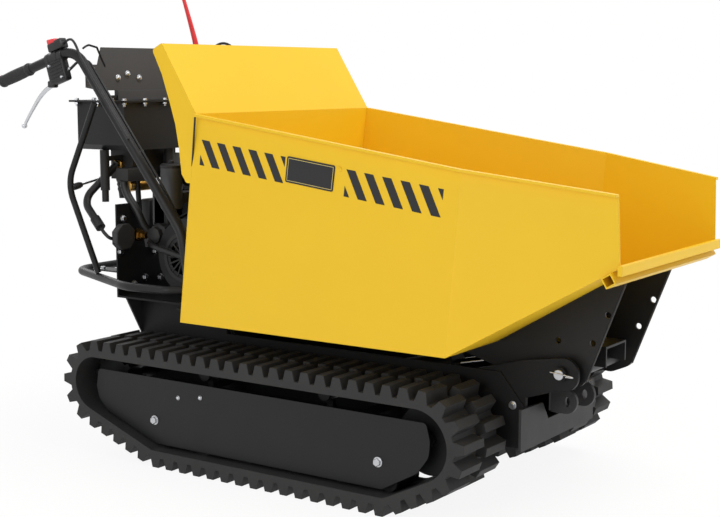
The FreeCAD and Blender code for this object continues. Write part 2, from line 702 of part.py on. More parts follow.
foot_cheeks = [profile("foot_cheek_" + hand, "XZ", [
    ("ram_foot_x - 45", "tub_low + tub_plate"), ("ram_foot_x + 45", "tub_low + tub_plate"),
    ("ram_foot_x + 22", "ram_foot_z + 22"), ("ram_foot_x - 22", "ram_foot_z + 22")],
    "cheek_thick", "%d * %s" % (side, cheek_y), rounds={2: 18, 3: 18}) for side, hand in SIDES]
foot_pin = bar("foot_pin", "Y", ("ram_foot_x", "-%s - 14" % cheek_y, "ram_foot_z"),
               "ram_pin_radius", "2 * (%s + 14)" % cheek_y)
keep(fuse("tub_floor", floor, skirt, nose, foot_pin, *foot_cheeks), "tub_floor")
HOSE_HOLE = ("deck_front_x - 20", "-tub_half + 30")
deck = profile("deck_plate", "XY", [
    ("deck_rear_x", "-deck_half"), ("deck_front_x - 62", "-deck_half"),
    ("deck_front_x - 62", "-bar_y - 20"), ("deck_front_x", "-bar_y - 20"),
    ("deck_front_x", "bar_y + 20"), ("deck_front_x - 62", "bar_y + 20"),
    ("deck_front_x - 62", "deck_half"), ("deck_rear_x", "deck_half")],
    "tub_plate", "deck_z + tub_plate / 2",
    holes=[HOSE_HOLE + ("tipping_hose_radius + 4",)])
cross = profile("cross_plate", "YZ", [
    ("-deck_half", "deck_z"), ("deck_half", "deck_z"), ("deck_half", "cross_high"),
    ("deck_half - cross_step", "cross_high"), ("deck_half - cross_step - 20", "cross_low"),
    ("-deck_half + cross_step + 20", "cross_low"), ("-deck_half + cross_step", "cross_high"),
    ("-deck_half", "cross_high")], "tub_plate", "deck_rear_x + tub_plate / 2")
COVER = ("-165", "520")
cover = profile("valve_cover", "YZ", [
    ("%s + %s" % (COVER[0], reach), "%s + %s" % (COVER[1], rise)) for reach, rise in (
        (-28, -16), (-12, -30), (12, -30), (28, -16), (28, 16), (12, 30), (-12, 30), (-28, 16))],
    "30", "deck_rear_x - 15")
keep(fuse("engine_deck", deck, cross, cover), "engine_deck")

# Tow bracket: two D-shaped ears on a base plate bolted to the front cross plate.
ears = []
for side, hand in SIDES:
    ears.append(profile("ear_" + hand, "XZ", [
        ("tub_front_x + nose_plate + 6", "ear_hole_z - 46"),
        ("ear_hole_x + 2", "ear_hole_z - 46"),
        ("ear_hole_x + ear_radius", "ear_hole_z - 20"),
        ("ear_hole_x + ear_radius", "ear_hole_z + 18"),
        ("ear_hole_x - 4", "ear_hole_z + 32"),
        ("tub_front_x + nose_plate + 6", "ear_hole_z + 32")], "ear_thick",
        "%d * ear_y" % side, holes=[("ear_hole_x", "ear_hole_z", "ear_hole_radius")],
        rounds={2: 14, 3: 14, 1: 12, 4: 12}))
base = block("ear_base", ("tub_front_x + nose_plate", "-ear_y - 12", "ear_hole_z - 46"),
             ("6", "2 * (ear_y + 12)", "82"))
keep(fuse("tow_bracket", base, *ears), "tow_bracket")

# The tipping pin, held in the two pivot arms.
pin_half = "(tub_half - tub_plate + pin_reach)"
keep(bar("pivot_pin", "Y", ("pivot_x", "-" + pin_half, "pivot_z"), "pin_radius",
         "2 * " + pin_half), "pivot_pin")

# Tipping frame: side plates, the bush on the pivot pin and the channel under the floor.
chute_rise = "(lip_z - floor_z) / (lip_x - floor_bend_x)"
PLATE_OUTLINE = [
    ("floor_bend_x - 95", "floor_z"),
    ("floor_bend_x - 95", "floor_z - 30"),
    ("pivot_x - 60", "pivot_z - tip_plate_radius + 4"),
    ("pivot_x - 6", "pivot_z - tip_plate_radius"),
    ("pivot_x + 40", "pivot_z - 25"),
    ("lip_x - 38", "floor_z + (lip_x - 38 - floor_bend_x) * %s" % chute_rise),
    ("floor_bend_x", "floor_z"),
]
TIP_HOLES = [("pivot_x + (lip_x - pivot_x) * 0.5143", "pivot_z + 130"),
             ("pivot_x + (lip_x - pivot_x) * 0.3257", "pivot_z + 67"),
             ("pivot_x - 23", "pivot_z + 64")]
for side, hand in SIDES:
    plate = profile("tip_plate_" + hand, "XZ", PLATE_OUTLINE, "tip_plate_thick",
                    "%d * tip_plate_y" % side,
                    holes=[("pivot_x", "pivot_z", "pin_radius + pin_gap")]
                    + [(x, z, "tip_hole_radius") for x, z in TIP_HOLES],
                    rounds={3: 35, 4: 35})
    keep(plate, "tip_plate_" + hand)

bush_half = "(tip_plate_y - tip_plate_thick / 2)"
bush = bar("bush_outside", "Y", ("pivot_x", "-" + bush_half, "pivot_z"),
           "pin_radius + pin_gap + bush_wall", "2 * " + bush_half)
bush_bore = bar("bush_bore", "Y", ("pivot_x", "-%s - 5" % bush_half, "pivot_z"),
                "pin_radius + pin_gap", "2 * %s + 10" % bush_half)
channel = profile("channel_section", "YZ", [
    ("-channel_half", "floor_z"), ("-channel_half", "floor_z - channel_high"),
    ("-channel_half + channel_wall", "floor_z - channel_high"),
    ("-channel_half + channel_wall", "floor_z - channel_wall"),
    ("channel_half - channel_wall", "floor_z - channel_wall"),
    ("channel_half - channel_wall", "floor_z - channel_high"),
    ("channel_half", "floor_z - channel_high"), ("channel_half", "floor_z")],
    "channel_front_x - channel_rear_x", "(channel_front_x + channel_rear_x) / 2")
cheeks = [profile("eye_cheek_" + hand, "XZ", [
    ("ram_eye_x - 24", "ram_eye_z - 24"), ("ram_eye_x + 24", "ram_eye_z - 24"),
    ("ram_eye_x + 50", "floor_z - channel_wall"), ("ram_eye_x - 50", "floor_z - channel_wall")],
    "cheek_thick", "%d * %s" % (side, cheek_y), rounds={0: 18, 1: 18}) for side, hand in SIDES]
keep(cut("tip_channel", fuse("channel_welded", channel, bush, *cheeks), bush_bore), "tip_channel")

# Tray. Each wall is the part of a plan outline that lies inside a side outline.
# The plan's crease leans with the wall, so its outline is drawn along the crease.

def plan_block(name, half, nose_half, front="lip_x + 60"):
    """The plan between two half widths, extruded along the leaning crease."""
    lean = "((rim_bend_x - floor_bend_x) / (rim_bend_z - floor_z))"
    low = "(floor_z - 40)"
    bend = "(floor_bend_x - 40 * %s)" % lean
    slope = "((%s - %s) / (lip_x - floor_bend_x - (lip_z - floor_z) * %s))" % (half, nose_half, lean)
    tip = "(%s - (%s - %s) * %s)" % (half, front, bend, slope)
    body = profile(name + "_plan", "XY", [
        ("floor_rear_x - 200", "-" + half), (bend, "-" + half), (front, "-" + tip),
        (front, tip), (bend, half), ("floor_rear_x - 200", half)], 2, low)
    sheared = doc.addObject("Part::Feature", name)
    rise = amount("guard_plate_z + 60 - %s" % low)
    base_face = max(body.Shape.Faces, key=lambda face: face.CenterOfMass.z)
    sheared.Shape = base_face.extrude(Vector(rise * amount(lean), 0, rise))
    return sheared


plan_flange = plan_block("plan_flange", "(tray_half + rim_flange)", "(tray_nose_half + rim_flange)")
plan_outside = plan_block("plan_outside", "tray_half", "tray_nose_half")
plan_inside = plan_block("plan_inside", "(tray_half - tray_wall)", "(tray_nose_half - tray_wall)")

rear_lean = "((rim_rear_x - floor_rear_x) / (rim_rear_z - floor_z))"
side_block = profile("tray_side_outline", "XZ", [
    ("floor_rear_x + tray_wall", "floor_z"), ("floor_bend_x", "floor_z"), ("lip_x", "lip_z"),
    ("rim_front_x", "rim_front_z"), ("rim_bend_x", "rim_bend_z"),
    ("rim_rear_x + tray_wall", "rim_rear_z")], "2 * tray_half + 80")
rim_strip = profile("rim_strip_outline", "XZ", [
    ("rim_rear_x + tray_wall", "rim_rear_z"),
    ("rim_rear_x + tray_wall", "rim_rear_z - rim_thick"),
    ("rim_bend_x", "rim_bend_z - rim_thick"), ("rim_front_x", "rim_front_z - rim_thick"),
    ("rim_front_x", "rim_front_z"), ("rim_bend_x", "rim_bend_z")], "2 * tray_half + 80")
wall_ring = cut("wall_ring", plan_outside, plan_inside)
flange_ring = cut("flange_ring", plan_flange, plan_outside)
walls = common("tray_walls", side_block, wall_ring)
flanges = common("tray_flanges", rim_strip, flange_ring)
both = fuse("tray_sides", walls, flanges)
for side, hand in SIDES:
    start = "0" if side > 0 else "-tray_half - 60"
    half_space = block("tray_half_" + hand, ("floor_rear_x - 100", start, "floor_z - 20"),
                       ("lip_x - floor_rear_x + 200", "tray_half + 60", "guard_plate_z"))
    keep(common("tray_wall_" + hand, both, half_space), "tray_wall_" + hand)

floor_strip = profile("tray_floor_outline", "XZ", [
    ("floor_rear_x + tray_wall", "floor_z"), ("floor_bend_x", "floor_z"), ("lip_x", "lip_z"),
    ("lip_x", "lip_z + tray_wall + 1"), ("floor_bend_x", "floor_z + tray_wall"),
    ("floor_rear_x + tray_wall * (1 + %s)" % rear_lean, "floor_z + tray_wall")],
    "2 * tray_half")
floor_sheet = common("floor_sheet", floor_strip, plan_inside)
lip_strip = block("lip_strip",
                  ("lip_x", "-tray_nose_half - rim_flange", "lip_z - lip_high + 6"),
                  ("overall_half - lip_x", "2 * (tray_nose_half + rim_flange)", "lip_high"))
keep(fuse("tray_floor", floor_sheet, lip_strip), "tray_floor")

# Rear wall and load guard: one sheet, bent back above the rim, with a folded web each side.
guard_parts = [profile("tray_rear_sheet", "XZ", [
    ("floor_rear_x", "floor_z"), ("floor_rear_x + tray_wall", "floor_z"),
    ("rim_rear_x + tray_wall", "rim_rear_z"), ("guard_plate_x + tray_wall", "guard_plate_z"),
    ("guard_plate_x", "guard_plate_z"), ("rim_rear_x", "rim_rear_z")], "2 * tray_half")]
for side, hand in SIDES:
    guard_parts.append(profile("guard_web_" + hand, "XZ", [
        ("rim_rear_x", "rim_rear_z"), ("guard_plate_x", "guard_plate_z"),
        ("guard_plate_x - guard_fold", "guard_plate_z - guard_fold / 2"),
        ("rim_rear_x - 100", "rim_rear_z + 90"), ("rim_rear_x - 76", "rim_rear_z + 22"),
        ("rim_rear_x - 61", "rim_rear_z - 25"), ("rim_rear_x - 51", "rim_rear_z - 78"),
        ("rim_rear_x - 44", "rim_rear_z - 140"), ("rim_rear_x - 30", "rim_rear_z - 160"),
        ("floor_rear_x + (rim_rear_z - 160 - floor_z) * %s" % rear_lean, "rim_rear_z - 160")],
        "tray_wall", "%d * (tray_half - tray_wall / 2)" % side, rounds={2: 8, 8: 8}))
keep(fuse("tray_rear", *guard_parts), "tray_rear")

# The square tube across the chute, behind the folded lip.
SLOPE = "sqrt((lip_x - floor_bend_x)^2 + (lip_z - floor_z)^2)"
FORWARD = "(lip_x - floor_bend_x) / " + SLOPE
UPWARD = "(lip_z - floor_z) / " + SLOPE


def on_chute(back, down):
    """A point by its distance back along the chute's underside and down from it."""
    return ("lip_x - (%s) * %s + (%s) * %s" % (back, FORWARD, down, UPWARD),
            "lip_z - (%s) * %s - (%s) * %s" % (back, UPWARD, down, FORWARD))


LIP_BACK = "(lip_tube * 0.7)"
tube_outside = profile("lip_tube_outside", "XZ", [
    on_chute(LIP_BACK, 0), on_chute(LIP_BACK + " + lip_tube", 0),
    on_chute(LIP_BACK + " + lip_tube", "lip_tube"), on_chute(LIP_BACK, "lip_tube")],
    "2 * (tray_nose_half + rim_flange)")
tube_inside = profile("lip_tube_inside", "XZ", [
    on_chute(LIP_BACK + " + lip_tube_wall", "lip_tube_wall"),
    on_chute(LIP_BACK + " + lip_tube - lip_tube_wall", "lip_tube_wall"),
    on_chute(LIP_BACK + " + lip_tube - lip_tube_wall", "lip_tube - lip_tube_wall"),
    on_chute(LIP_BACK + " + lip_tube_wall", "lip_tube - lip_tube_wall")],
    "2 * (tray_nose_half + rim_flange) + 10")
keep(cut("lip_tube", tube_outside, tube_inside), "lip_tube")

# Hydraulic cylinder: barrel on the tub's floor, rod to the bracket inside the channel.
# The rod's eye has its own pin between the bracket's cheeks, whose outer heads stay on
# the bracket, so the eye may leave the bracket's line a little while the tray tips.
ram_angle = math.degrees(math.atan2(amount("ram_eye_z - ram_foot_z"),
                                    amount("ram_eye_x - ram_foot_x")))
ram_turn = FreeCAD.Rotation(Vector(0, 1, 0), -ram_angle)
ram_long = "sqrt((ram_eye_x - ram_foot_x)^2 + (ram_eye_z - ram_foot_z)^2)"


def on_ram(name, start, radius, long):
    """A round bar on the cylinder's axis, from a distance above its lower pin."""
    cylinder = doc.addObject("Part::Cylinder", name)
    bind(cylinder, Radius=radius, Height=long)
    axis = Vector(math.cos(math.radians(ram_angle)), 0, math.sin(math.radians(ram_angle)))
    foot = Vector(amount("ram_foot_x"), 0, amount("ram_foot_z"))
    turn = FreeCAD.Rotation(Vector(0, 0, 1), axis)
    cylinder.Placement = FreeCAD.Placement(foot + axis * amount(start), turn)
    return cylinder


barrel = fuse("barrel_body",
              on_ram("barrel_tube", "2 * ram_eye_radius", "barrel_radius",
                     "barrel_long - 2 * ram_eye_radius"),
              on_ram("barrel_neck", "ram_pin_radius + 3", "ram_eye_half - 1",
                     "2 * ram_eye_radius - ram_pin_radius"),
              bar("barrel_eye", "Y", ("ram_foot_x", "-ram_eye_half", "ram_foot_z"),
                  "ram_eye_radius", "2 * ram_eye_half"))
gland = on_ram("gland", "barrel_long", "barrel_radius + 3", "22")
barrel_bore = on_ram("barrel_bore_space", "2 * ram_eye_radius + 10", "barrel_bore",
                     "barrel_long - 2 * ram_eye_radius - 10")
rod_bore = on_ram("rod_bore_space", "barrel_long - 5", "rod_radius + seat_gap", "40")
barrel_pin = bar("barrel_pin_space", "Y", ("ram_foot_x", "-ram_eye_half - 5", "ram_foot_z"),
                 "ram_pin_radius + pin_gap", "2 * ram_eye_half + 10")
port_z = ("(ram_foot_z + (port_x - ram_foot_x) * (ram_eye_z - ram_foot_z)"
          " / (ram_eye_x - ram_foot_x))")
port = bar("oil_port", "Y", ("port_x", "-port_reach", port_z), 9, "port_reach - barrel_bore - 2")
keep(cut("cylinder_barrel", fuse("barrel_welded", barrel, gland, port), barrel_bore, rod_bore,
         barrel_pin), "cylinder_barrel")

rod = fuse("cylinder_rod_body",
           on_ram("rod_bar", "2 * ram_eye_radius + 14", "rod_radius",
                  ram_long + " - 2 * ram_eye_radius - 14 - ram_eye_radius + 6"),
           on_ram("rod_piston", "2 * ram_eye_radius + 14", "barrel_bore - seat_gap",
                  "piston_long"),
           bar("rod_eye", "Y", ("ram_eye_x", "-ram_eye_half", "ram_eye_z"), "ram_eye_radius",
               "2 * ram_eye_half"),
           bar("rod_pin", "Y", ("ram_eye_x", "-ram_eye_half - cheek_gap + 1", "ram_eye_z"),
               "ram_pin_radius", "2 * (ram_eye_half + cheek_gap - 1)"))
keep(rod, "cylinder_rod")


# Handlebars, grips and stays.
bar_foot = ("deck_z + tub_plate + seat_gap + bar_radius * (bar_foot_x - bar_knee_x)"
            " / sqrt((bar_foot_x - bar_knee_x)^2 + (bar_knee_z - deck_z)^2)")
elbow = Vector(amount("bar_elbow_x"), 0, amount("bar_elbow_z"))
grip_end = Vector(amount("-overall_half"), 0, amount("grip_end_z"))
for attempt in range(6):
    grip_heading = (elbow - grip_end).normalize()
    grip_end.x = amount("-overall_half") + amount("grip_radius") * grip_heading.z
grip_turn = FreeCAD.Rotation(Vector(0, 0, 1), grip_heading)
for side, hand in SIDES:
    y = "%d * bar_y" % side
    across_bar = Vector(0, amount(y), 0)
    tube_end = grip_end + grip_heading * 4
    route = [(tube_end.x, y, tube_end.z), ("bar_elbow_x", y, "bar_elbow_z"),
             ("bar_knee_x", y, "bar_knee_z"), ("bar_foot_x", y, bar_foot)]
    keep(bent_tube("handlebar_" + hand, route, (70, 90), "bar_radius"), "handlebar_" + hand)
    sleeve = doc.addObject("Part::Cylinder", "grip_sleeve_" + hand)
    bind(sleeve, Radius="grip_radius", Height="grip_long")
    sleeve.Placement = FreeCAD.Placement(grip_end + across_bar, grip_turn)
    hollow = doc.addObject("Part::Cylinder", "grip_hollow_" + hand)
    bind(hollow, Radius="bar_radius", Height="grip_long")
    hollow.Placement = FreeCAD.Placement(tube_end + across_bar, grip_turn)
    keep(cut("grip_" + hand, sleeve, hollow), "grip_" + hand)
    stay_route = [("tank_front_x - 11", "%d * (bar_y + 23)" % side, 868),
                  ("bar_elbow_x - 21", "%d * (bar_y + 18)" % side, 662),
                  ("hoop_rear_x + 145", "%d * (hoop_half - 72)" % side, "hoop_z + hoop_radius + 1.3")]
    keep(bent_tube("stay_" + hand, stay_route, 110, "stay_radius"), "stay_" + hand)

# Rear bumper hoop, welded to the handlebars' feet.
hoop_side = [("hoop_rear_x", "hoop_half - 139"), ("bar_knee_x - 150", "hoop_half"),
             ("bar_foot_x - 48", "hoop_half - 5")]
hoop_route = [("bar_foot_x - 13.5", "bar_y + 14.35", "hoop_z")]
hoop_route += [(x, y, "hoop_z") for x, y in reversed(hoop_side)]
hoop_route += [(x, "-(%s)" % y, "hoop_z") for x, y in hoop_side]
hoop_route += [("bar_foot_x - 13.5", "-(bar_y + 14.35)", "hoop_z")]
keep(bent_tube("bumper_hoop", hoop_route, (25, 120, 70, 70, 120, 25), "hoop_radius"),
     "bumper_hoop")

# Hydraulic oil tank behind the tray, with its bolted lid.
tank = profile("tank_body", "YZ", [
    ("-tank_half", "tank_high"), ("-tank_half", "tank_low + tank_bevel"),
    ("-tank_half + tank_bevel", "tank_low"), ("tank_half - tank_bevel", "tank_low"),
    ("tank_half", "tank_low + tank_bevel"), ("tank_half", "tank_high")],
    "tank_front_x - tank_rear_x", "(tank_front_x + tank_rear_x) / 2")
lid = block("lid_plate", ("tank_rear_x - tank_lid_lip", "-tank_half - tank_lid_lip", "tank_high"),
            ("tank_front_x - tank_rear_x + 2 * tank_lid_lip", "2 * (tank_half + tank_lid_lip)",
             "tank_lid"))
tab = block("lid_tab", ("tank_front_x - 31", "-bar_y + bar_radius", "tank_high"),
            ("40", "2 * (bar_y - bar_radius)", "tank_lid"))
keep(fuse("oil_tank", tank, lid, tab), "oil_tank")

# Control panel across the handlebars, on a block in the middle of the tank's lid.
PANEL = [
    ("-bar_y + bar_radius", "panel_low + 8"), ("-panel_half", "panel_low"),
    ("panel_half", "panel_low"), ("bar_y - bar_radius", "panel_low + 8"),
    ("bar_y - bar_radius", "panel_low + panel_wing"), ("panel_half + 6", "panel_low + panel_wing"),
    ("panel_half - 8", "panel_high"), ("-panel_half + 8", "panel_high"),
    ("-panel_half - 6", "panel_low + panel_wing"), ("-bar_y + bar_radius", "panel_low + panel_wing"),
]
panel = profile("panel_plate", "YZ", PANEL, "panel_thick", "panel_x")
stand = block("panel_stand", ("panel_x - panel_thick / 2", "-panel_block", "tank_high + tank_lid"),
              ("14", "2 * panel_block", "panel_low - tank_high - tank_lid"))
keep(fuse("control_panel", panel, stand), "control_panel")

# Engine: crankcase on its feet, leaning cylinder with cooling fins, rocker cover,
# air cleaner and the hydraulic pump at the rear.

def on_cylinder(along, aside):
    """A point of the engine's cylinder, by its distances along and beside the axis."""
    return ("engine_x - 10 - (%s) * sin(cylinder_lean) + (%s) * cos(cylinder_lean)" % (along, aside),
            "engine_low + engine_high - 30 + (%s) * cos(cylinder_lean) + (%s) * sin(cylinder_lean)"
            % (along, aside))


def cylinder_slice(name, start, long, aside, half):
    """A block across the engine's cylinder, from one height along its axis."""
    end = "%s + %s" % (start, long)
    return profile(name, "XZ", [on_cylinder(start, "-(%s)" % aside), on_cylinder(start, aside),
                                on_cylinder(end, aside), on_cylinder(end, "-(%s)" % aside)],
                   "2 * (%s)" % half)


crank_top = "engine_low + engine_high"
crank = profile("crankcase", "XZ", [
    ("engine_x - engine_long / 2", "engine_low"), ("engine_x + engine_long / 2", "engine_low"),
    ("engine_x + engine_long / 2", crank_top + " - 40"),
    ("engine_x + engine_long / 2 - 30", crank_top), ("engine_x - engine_long / 2 + 30", crank_top),
    ("engine_x - engine_long / 2", crank_top + " - 40")], "2 * engine_half",
    rounds={2: 14, 3: 14, 4: 14, 5: 14})
feet = block("engine_feet", ("engine_x - engine_long / 2 - 12", "-engine_half", "engine_low"),
             ("engine_long + 24", "2 * engine_half", "engine_foot"))
engine = [crank, feet, cylinder_slice("cylinder_core", 0, "cylinder_long", "cylinder_half",
                                      "cylinder_half + 4")]
for number in range(8):
    engine.append(cylinder_slice("fin_%d" % number, "(24 + %d * fin_pitch)" % number, "fin_thick",
                                 "fin_half", "fin_half + 4"))
engine.append(cylinder_slice("rocker_cover", "cylinder_long", "head_high", "cylinder_half",
                             "cylinder_half"))
engine.append(bar("air_cleaner", "Z", ("filter_x", "filter_y", "filter_low"), "filter_radius",
                  "filter_high - filter_low"))
engine.append(block("air_duct", ("filter_x - 20", "filter_y + 20", "filter_low + 12"),
                    ("40", "-filter_y - 20 - cylinder_half + 6", "28")))
engine.append(block("oil_pump", ("engine_x - engine_long / 2 - 30", -28, "engine_low + 55"),
                    ("30", "56", "56")))
keep(fuse("engine_block", *engine), "engine_block")
fan = bar("fan_drum", "Y", ("engine_x", "-engine_half - fan_deep", "engine_low + 105"),
          "fan_radius", "fan_deep")
recoil = bar("recoil_cover", "Y", ("engine_x", "-engine_half - fan_deep - recoil_deep",
                                   "engine_low + 105"), "recoil_radius", "recoil_deep")
hollow = bar("recoil_middle", "Y", ("engine_x", "-engine_half - fan_deep - recoil_deep",
                                    "engine_low + 105"), "recoil_radius - 22", "4")
keep(cut("fan_housing", fuse("fan_welded", fan, recoil), hollow), "fan_housing")

FUEL_X = "(fuel_rear_x + fuel_front_x) / 2"
fuel = profile("fuel_shell", "XZ", [
    ("fuel_rear_x", "fuel_low"), ("fuel_front_x", "fuel_low"), ("fuel_front_x", "fuel_high"),
    ("fuel_rear_x", "fuel_high")], "2 * fuel_half", rounds={0: 16, 1: 16, 2: 22, 3: 22})
seam = block("fuel_seam", ("fuel_rear_x - 5", "-fuel_half - 5", "fuel_low + 30"),
             ("fuel_front_x - fuel_rear_x + 10", "2 * fuel_half + 10", "4"))
neck = bar("fuel_cap", "Z", (FUEL_X, 30, "fuel_high"), 24, 14)
leg = block("fuel_leg", ("engine_x + engine_long / 2 - 44", -60, crank_top + " + seat_gap"),
            ("12", "120", "fuel_low - (%s) - seat_gap" % crank_top))
keep(fuse("fuel_tank", fuel, seam, neck, leg), "fuel_tank")

muffler = profile("muffler_shell", "XZ", [
    ("engine_x - 60", crank_top + " + seat_gap"),
    ("engine_x - 60 + muffler_long", crank_top + " + seat_gap"),
    ("engine_x - 60 + muffler_long", crank_top + " + muffler_high"),
    ("engine_x - 60", crank_top + " + muffler_high")],
    "muffler_wide", "engine_half - 25 + muffler_wide / 2", rounds={0: 18, 1: 18, 2: 18, 3: 18})
outlet = bar("exhaust_outlet", "Y", ("engine_x + 40", "engine_half - 25 + muffler_wide",
                                     crank_top + " + muffler_high / 2"), 11, 20)
keep(fuse("muffler", muffler, outlet), "muffler")
case = block("gearbox_case", ("sprocket_x - 30", "-gearbox_half", "tub_low + tub_plate"),
             ("gearbox_long", "2 * gearbox_half", "gearbox_high"))
shaft_space = bar("shaft_space", "Y", ("sprocket_x", "-gearbox_half - 10", "sprocket_z"),
                  "axle_radius + seat_gap", "2 * gearbox_half + 20")
keep(cut("gearbox", case, shaft_space), "gearbox")

# Hydraulic valve under the oil tank, with its spool tube on an arm.
valve = block("valve_body", ("valve_x - valve_long / 2", "-valve_reach", "valve_low"),
              ("valve_long", "valve_reach + valve_left", "tank_low - seat_gap - valve_low"))
spool = bar("spool_tube", "Z", ("valve_x", "-valve_reach - 63", "tank_low - 105"), 12,
            "105 - seat_gap")
boot = bar("spool_boot", "Z", ("valve_x", "-valve_reach - 63", "tank_low - 135"), 9, 40)
arm = block("spool_arm", ("valve_x - 6", "-valve_reach - 63", "tank_low - 29"),
            ("12", "73", "12"))
keep(fuse("valve_block", valve, spool, boot, arm), "valve_block")

# Supply hose from the valve to the cover on the cross plate, with its crimped end.
HOSE_START = ("valve_x - 5", "-valve_reach - 17", "valve_low + 38")
HOSE_TURN = Vector(-648, -201, 614)
HOSE_END = Vector(-572, -218, 551)
elbow_fitting = bar("hose_elbow", "Y", ("valve_x - 5", "-valve_reach - 23", "valve_low + 38"), 11,
                    "23 - seat_gap")
supply = bent_tube("supply_run", [HOSE_START, tuple(HOSE_TURN), tuple(HOSE_END)], 45,
                   "supply_radius")
sleeve_way = (HOSE_END - HOSE_TURN).normalize()
sleeve = doc.addObject("Part::Cylinder", "crimp_sleeve")
bind(sleeve, Radius="supply_radius + 3", Height="34")
sleeve.Placement = FreeCAD.Placement(HOSE_END - sleeve_way * 30,
                                     FreeCAD.Rotation(Vector(0, 0, 1), sleeve_way))
pipe = bent_tube("supply_pipe", [tuple(HOSE_END - sleeve_way * 10), tuple(HOSE_END + sleeve_way * 22),
                                 (-540, -216, 521), (-540, "-165 - 28 - seat_gap", 520)],
                 (14, 14), "pipe_radius")
keep(fuse("supply_hose", elbow_fitting, supply, sleeve, pipe), "supply_hose")

# Tipping hose: from the valve over the cross plate, beside the engine, through the deck
# and along the tub to the port on the cylinder's side.
tipping_route = [(-565, -85, "valve_low - seat_gap"), (-562, -80, 545), (-500, -95, 515),
                 (-450, -173, 508), (-262, -172, 470), HOSE_HOLE + (412,), HOSE_HOLE + (300,),
                 (-150, "-tub_half + 65", 215), ("port_x - 4", "-port_reach - 15", port_z)]
tipping_run = bent_tube("tipping_run", tipping_route, (45, 60, 70, 60, 60, 60, 80),
                        "tipping_hose_radius")
banjo = bar("hose_banjo", "Y", ("port_x", "-port_reach - 26", port_z), 10, "26 - seat_gap")
keep(fuse("tipping_hose", tipping_run, banjo), "tipping_hose")

# Clutch levers in clamps on the handlebars, and their cables down to the deck.
for side, hand in SIDES:
    y = "%d * bar_y" % side
    clamp = doc.addObject("Part::Cylinder", "lever_clamp_" + hand)
    bind(clamp, Radius="clamp_radius", Height="44")
    clamp.Placement = FreeCAD.Placement(grip_end + Vector(0, amount(y), 0) + grip_heading * 188,
                                        grip_turn)
    low, wide = across(side, "bar_y", 15)
    housing = block("lever_housing_" + hand, ("bar_elbow_x - 91", low, "bar_elbow_z - 89"),
                    ("37", wide, "60"))
    blade_route = [("bar_elbow_x - %s" % back, y, "bar_elbow_z - %s" % down) for back, down in (
        (78, 84), (130, 117), (169, 156), (196, 199))]
    blade = bent_tube("lever_blade_" + hand, blade_route, (50, 60), "blade_radius")
    low, wide = across(side, "bar_y", 6)
    knob = bar("lever_knob_" + hand, "Y", ("bar_elbow_x - 196", low, "bar_elbow_z - 199"),
               "blade_radius + 3", wide)
    bar_space = doc.addObject("Part::Cylinder", "lever_bar_space_" + hand)
    bind(bar_space, Radius="bar_radius + seat_gap", Height="160")
    bar_space.Placement = FreeCAD.Placement(
        grip_end + Vector(0, amount(y), 0) + grip_heading * 140, grip_turn)
    keep(cut("clutch_lever_" + hand, fuse("lever_welded_" + hand, clamp, housing, blade, knob),
             bar_space), "clutch_lever_" + hand)
cable_start = ("bar_elbow_x - 54 + cable_radius / 2 + seat_gap", "bar_elbow_z - 74")
BESIDE_BAR = "bar_elbow_x + (bar_knee_x - bar_elbow_x) * 0.8"
CABLES = {
    "right": ([("bar_elbow_x + 12", "-bar_y + 22", 990), ("bar_elbow_x + 72", "-bar_y + 16", 922),
               (BESIDE_BAR, "-bar_y + 13.5", 663), ("cable_hole_x", "-cable_hole_y - 5", 560)],
              (35, 100, 120, 120)),
    "left": ([("bar_elbow_x", "bar_y - 24", 950), ("bar_elbow_x + 101", "bar_y - 24", 1075),
              ("bar_elbow_x + 172", "bar_y - 18", 880), (BESIDE_BAR, "bar_y - 13.5", 663),
              ("cable_hole_x", "cable_hole_y + 5", 560)], (60, 50, 200, 120, 120)),
}
for side, hand in SIDES:
    places, bends = CABLES[hand]
    route = [(cable_start[0], "%d * bar_y" % side, cable_start[1])] + places + [
        ("cable_hole_x", "%d * cable_hole_y" % side, "deck_z + tub_plate + seat_gap")]
    keep(bent_tube("clutch_cable_" + hand, route, bends, "cable_radius"), "clutch_cable_" + hand)
    print("clutch_cable_" + hand, "radii", bends)

# Tipping lever beside the load guard: a stem on the tank's lid and a leaning handle.
stem = bar("lever_stem", "Z", ("tank_front_x + 9", "lever_y", "tank_high + tank_lid"), 6,
           "lever_rise + 6")
foot = "tank_high + tank_lid + lever_rise"
handle = profile("lever_handle", "YZ", [
    ("lever_y - lever_wide / 2", foot), ("lever_y + lever_wide / 2", foot),
    ("lever_y + lever_wide / 2 - lever_lean", foot + " + lever_grip"),
    ("lever_y - lever_wide / 2 - lever_lean", foot + " + lever_grip")], "13", "tank_front_x + 9",
    rounds={0: 5, 1: 5, 2: 7, 3: 7})
keep(fuse("tipping_lever", stem, handle), "tipping_lever")

doc.recompute()

failed = [obj.Label for obj in doc.Objects if {"Invalid", "Error"} & set(obj.State)]
for node in nodes:
    shape = node.Shape
    if shape.isNull() or not shape.isValid() or not shape.Solids:
        failed.append(node.Label)
if failed:
    raise RuntimeError("failed: " + ", ".join(failed))
if len({node.Label for node in nodes}) != len(nodes):
    raise RuntimeError("two pieces share a name")

os.makedirs("parts", exist_ok=True)
for node in nodes:
    node.Shape.exportStep("parts/%s.step" % node.Label)
print(len(nodes), "pieces written")
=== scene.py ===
import math

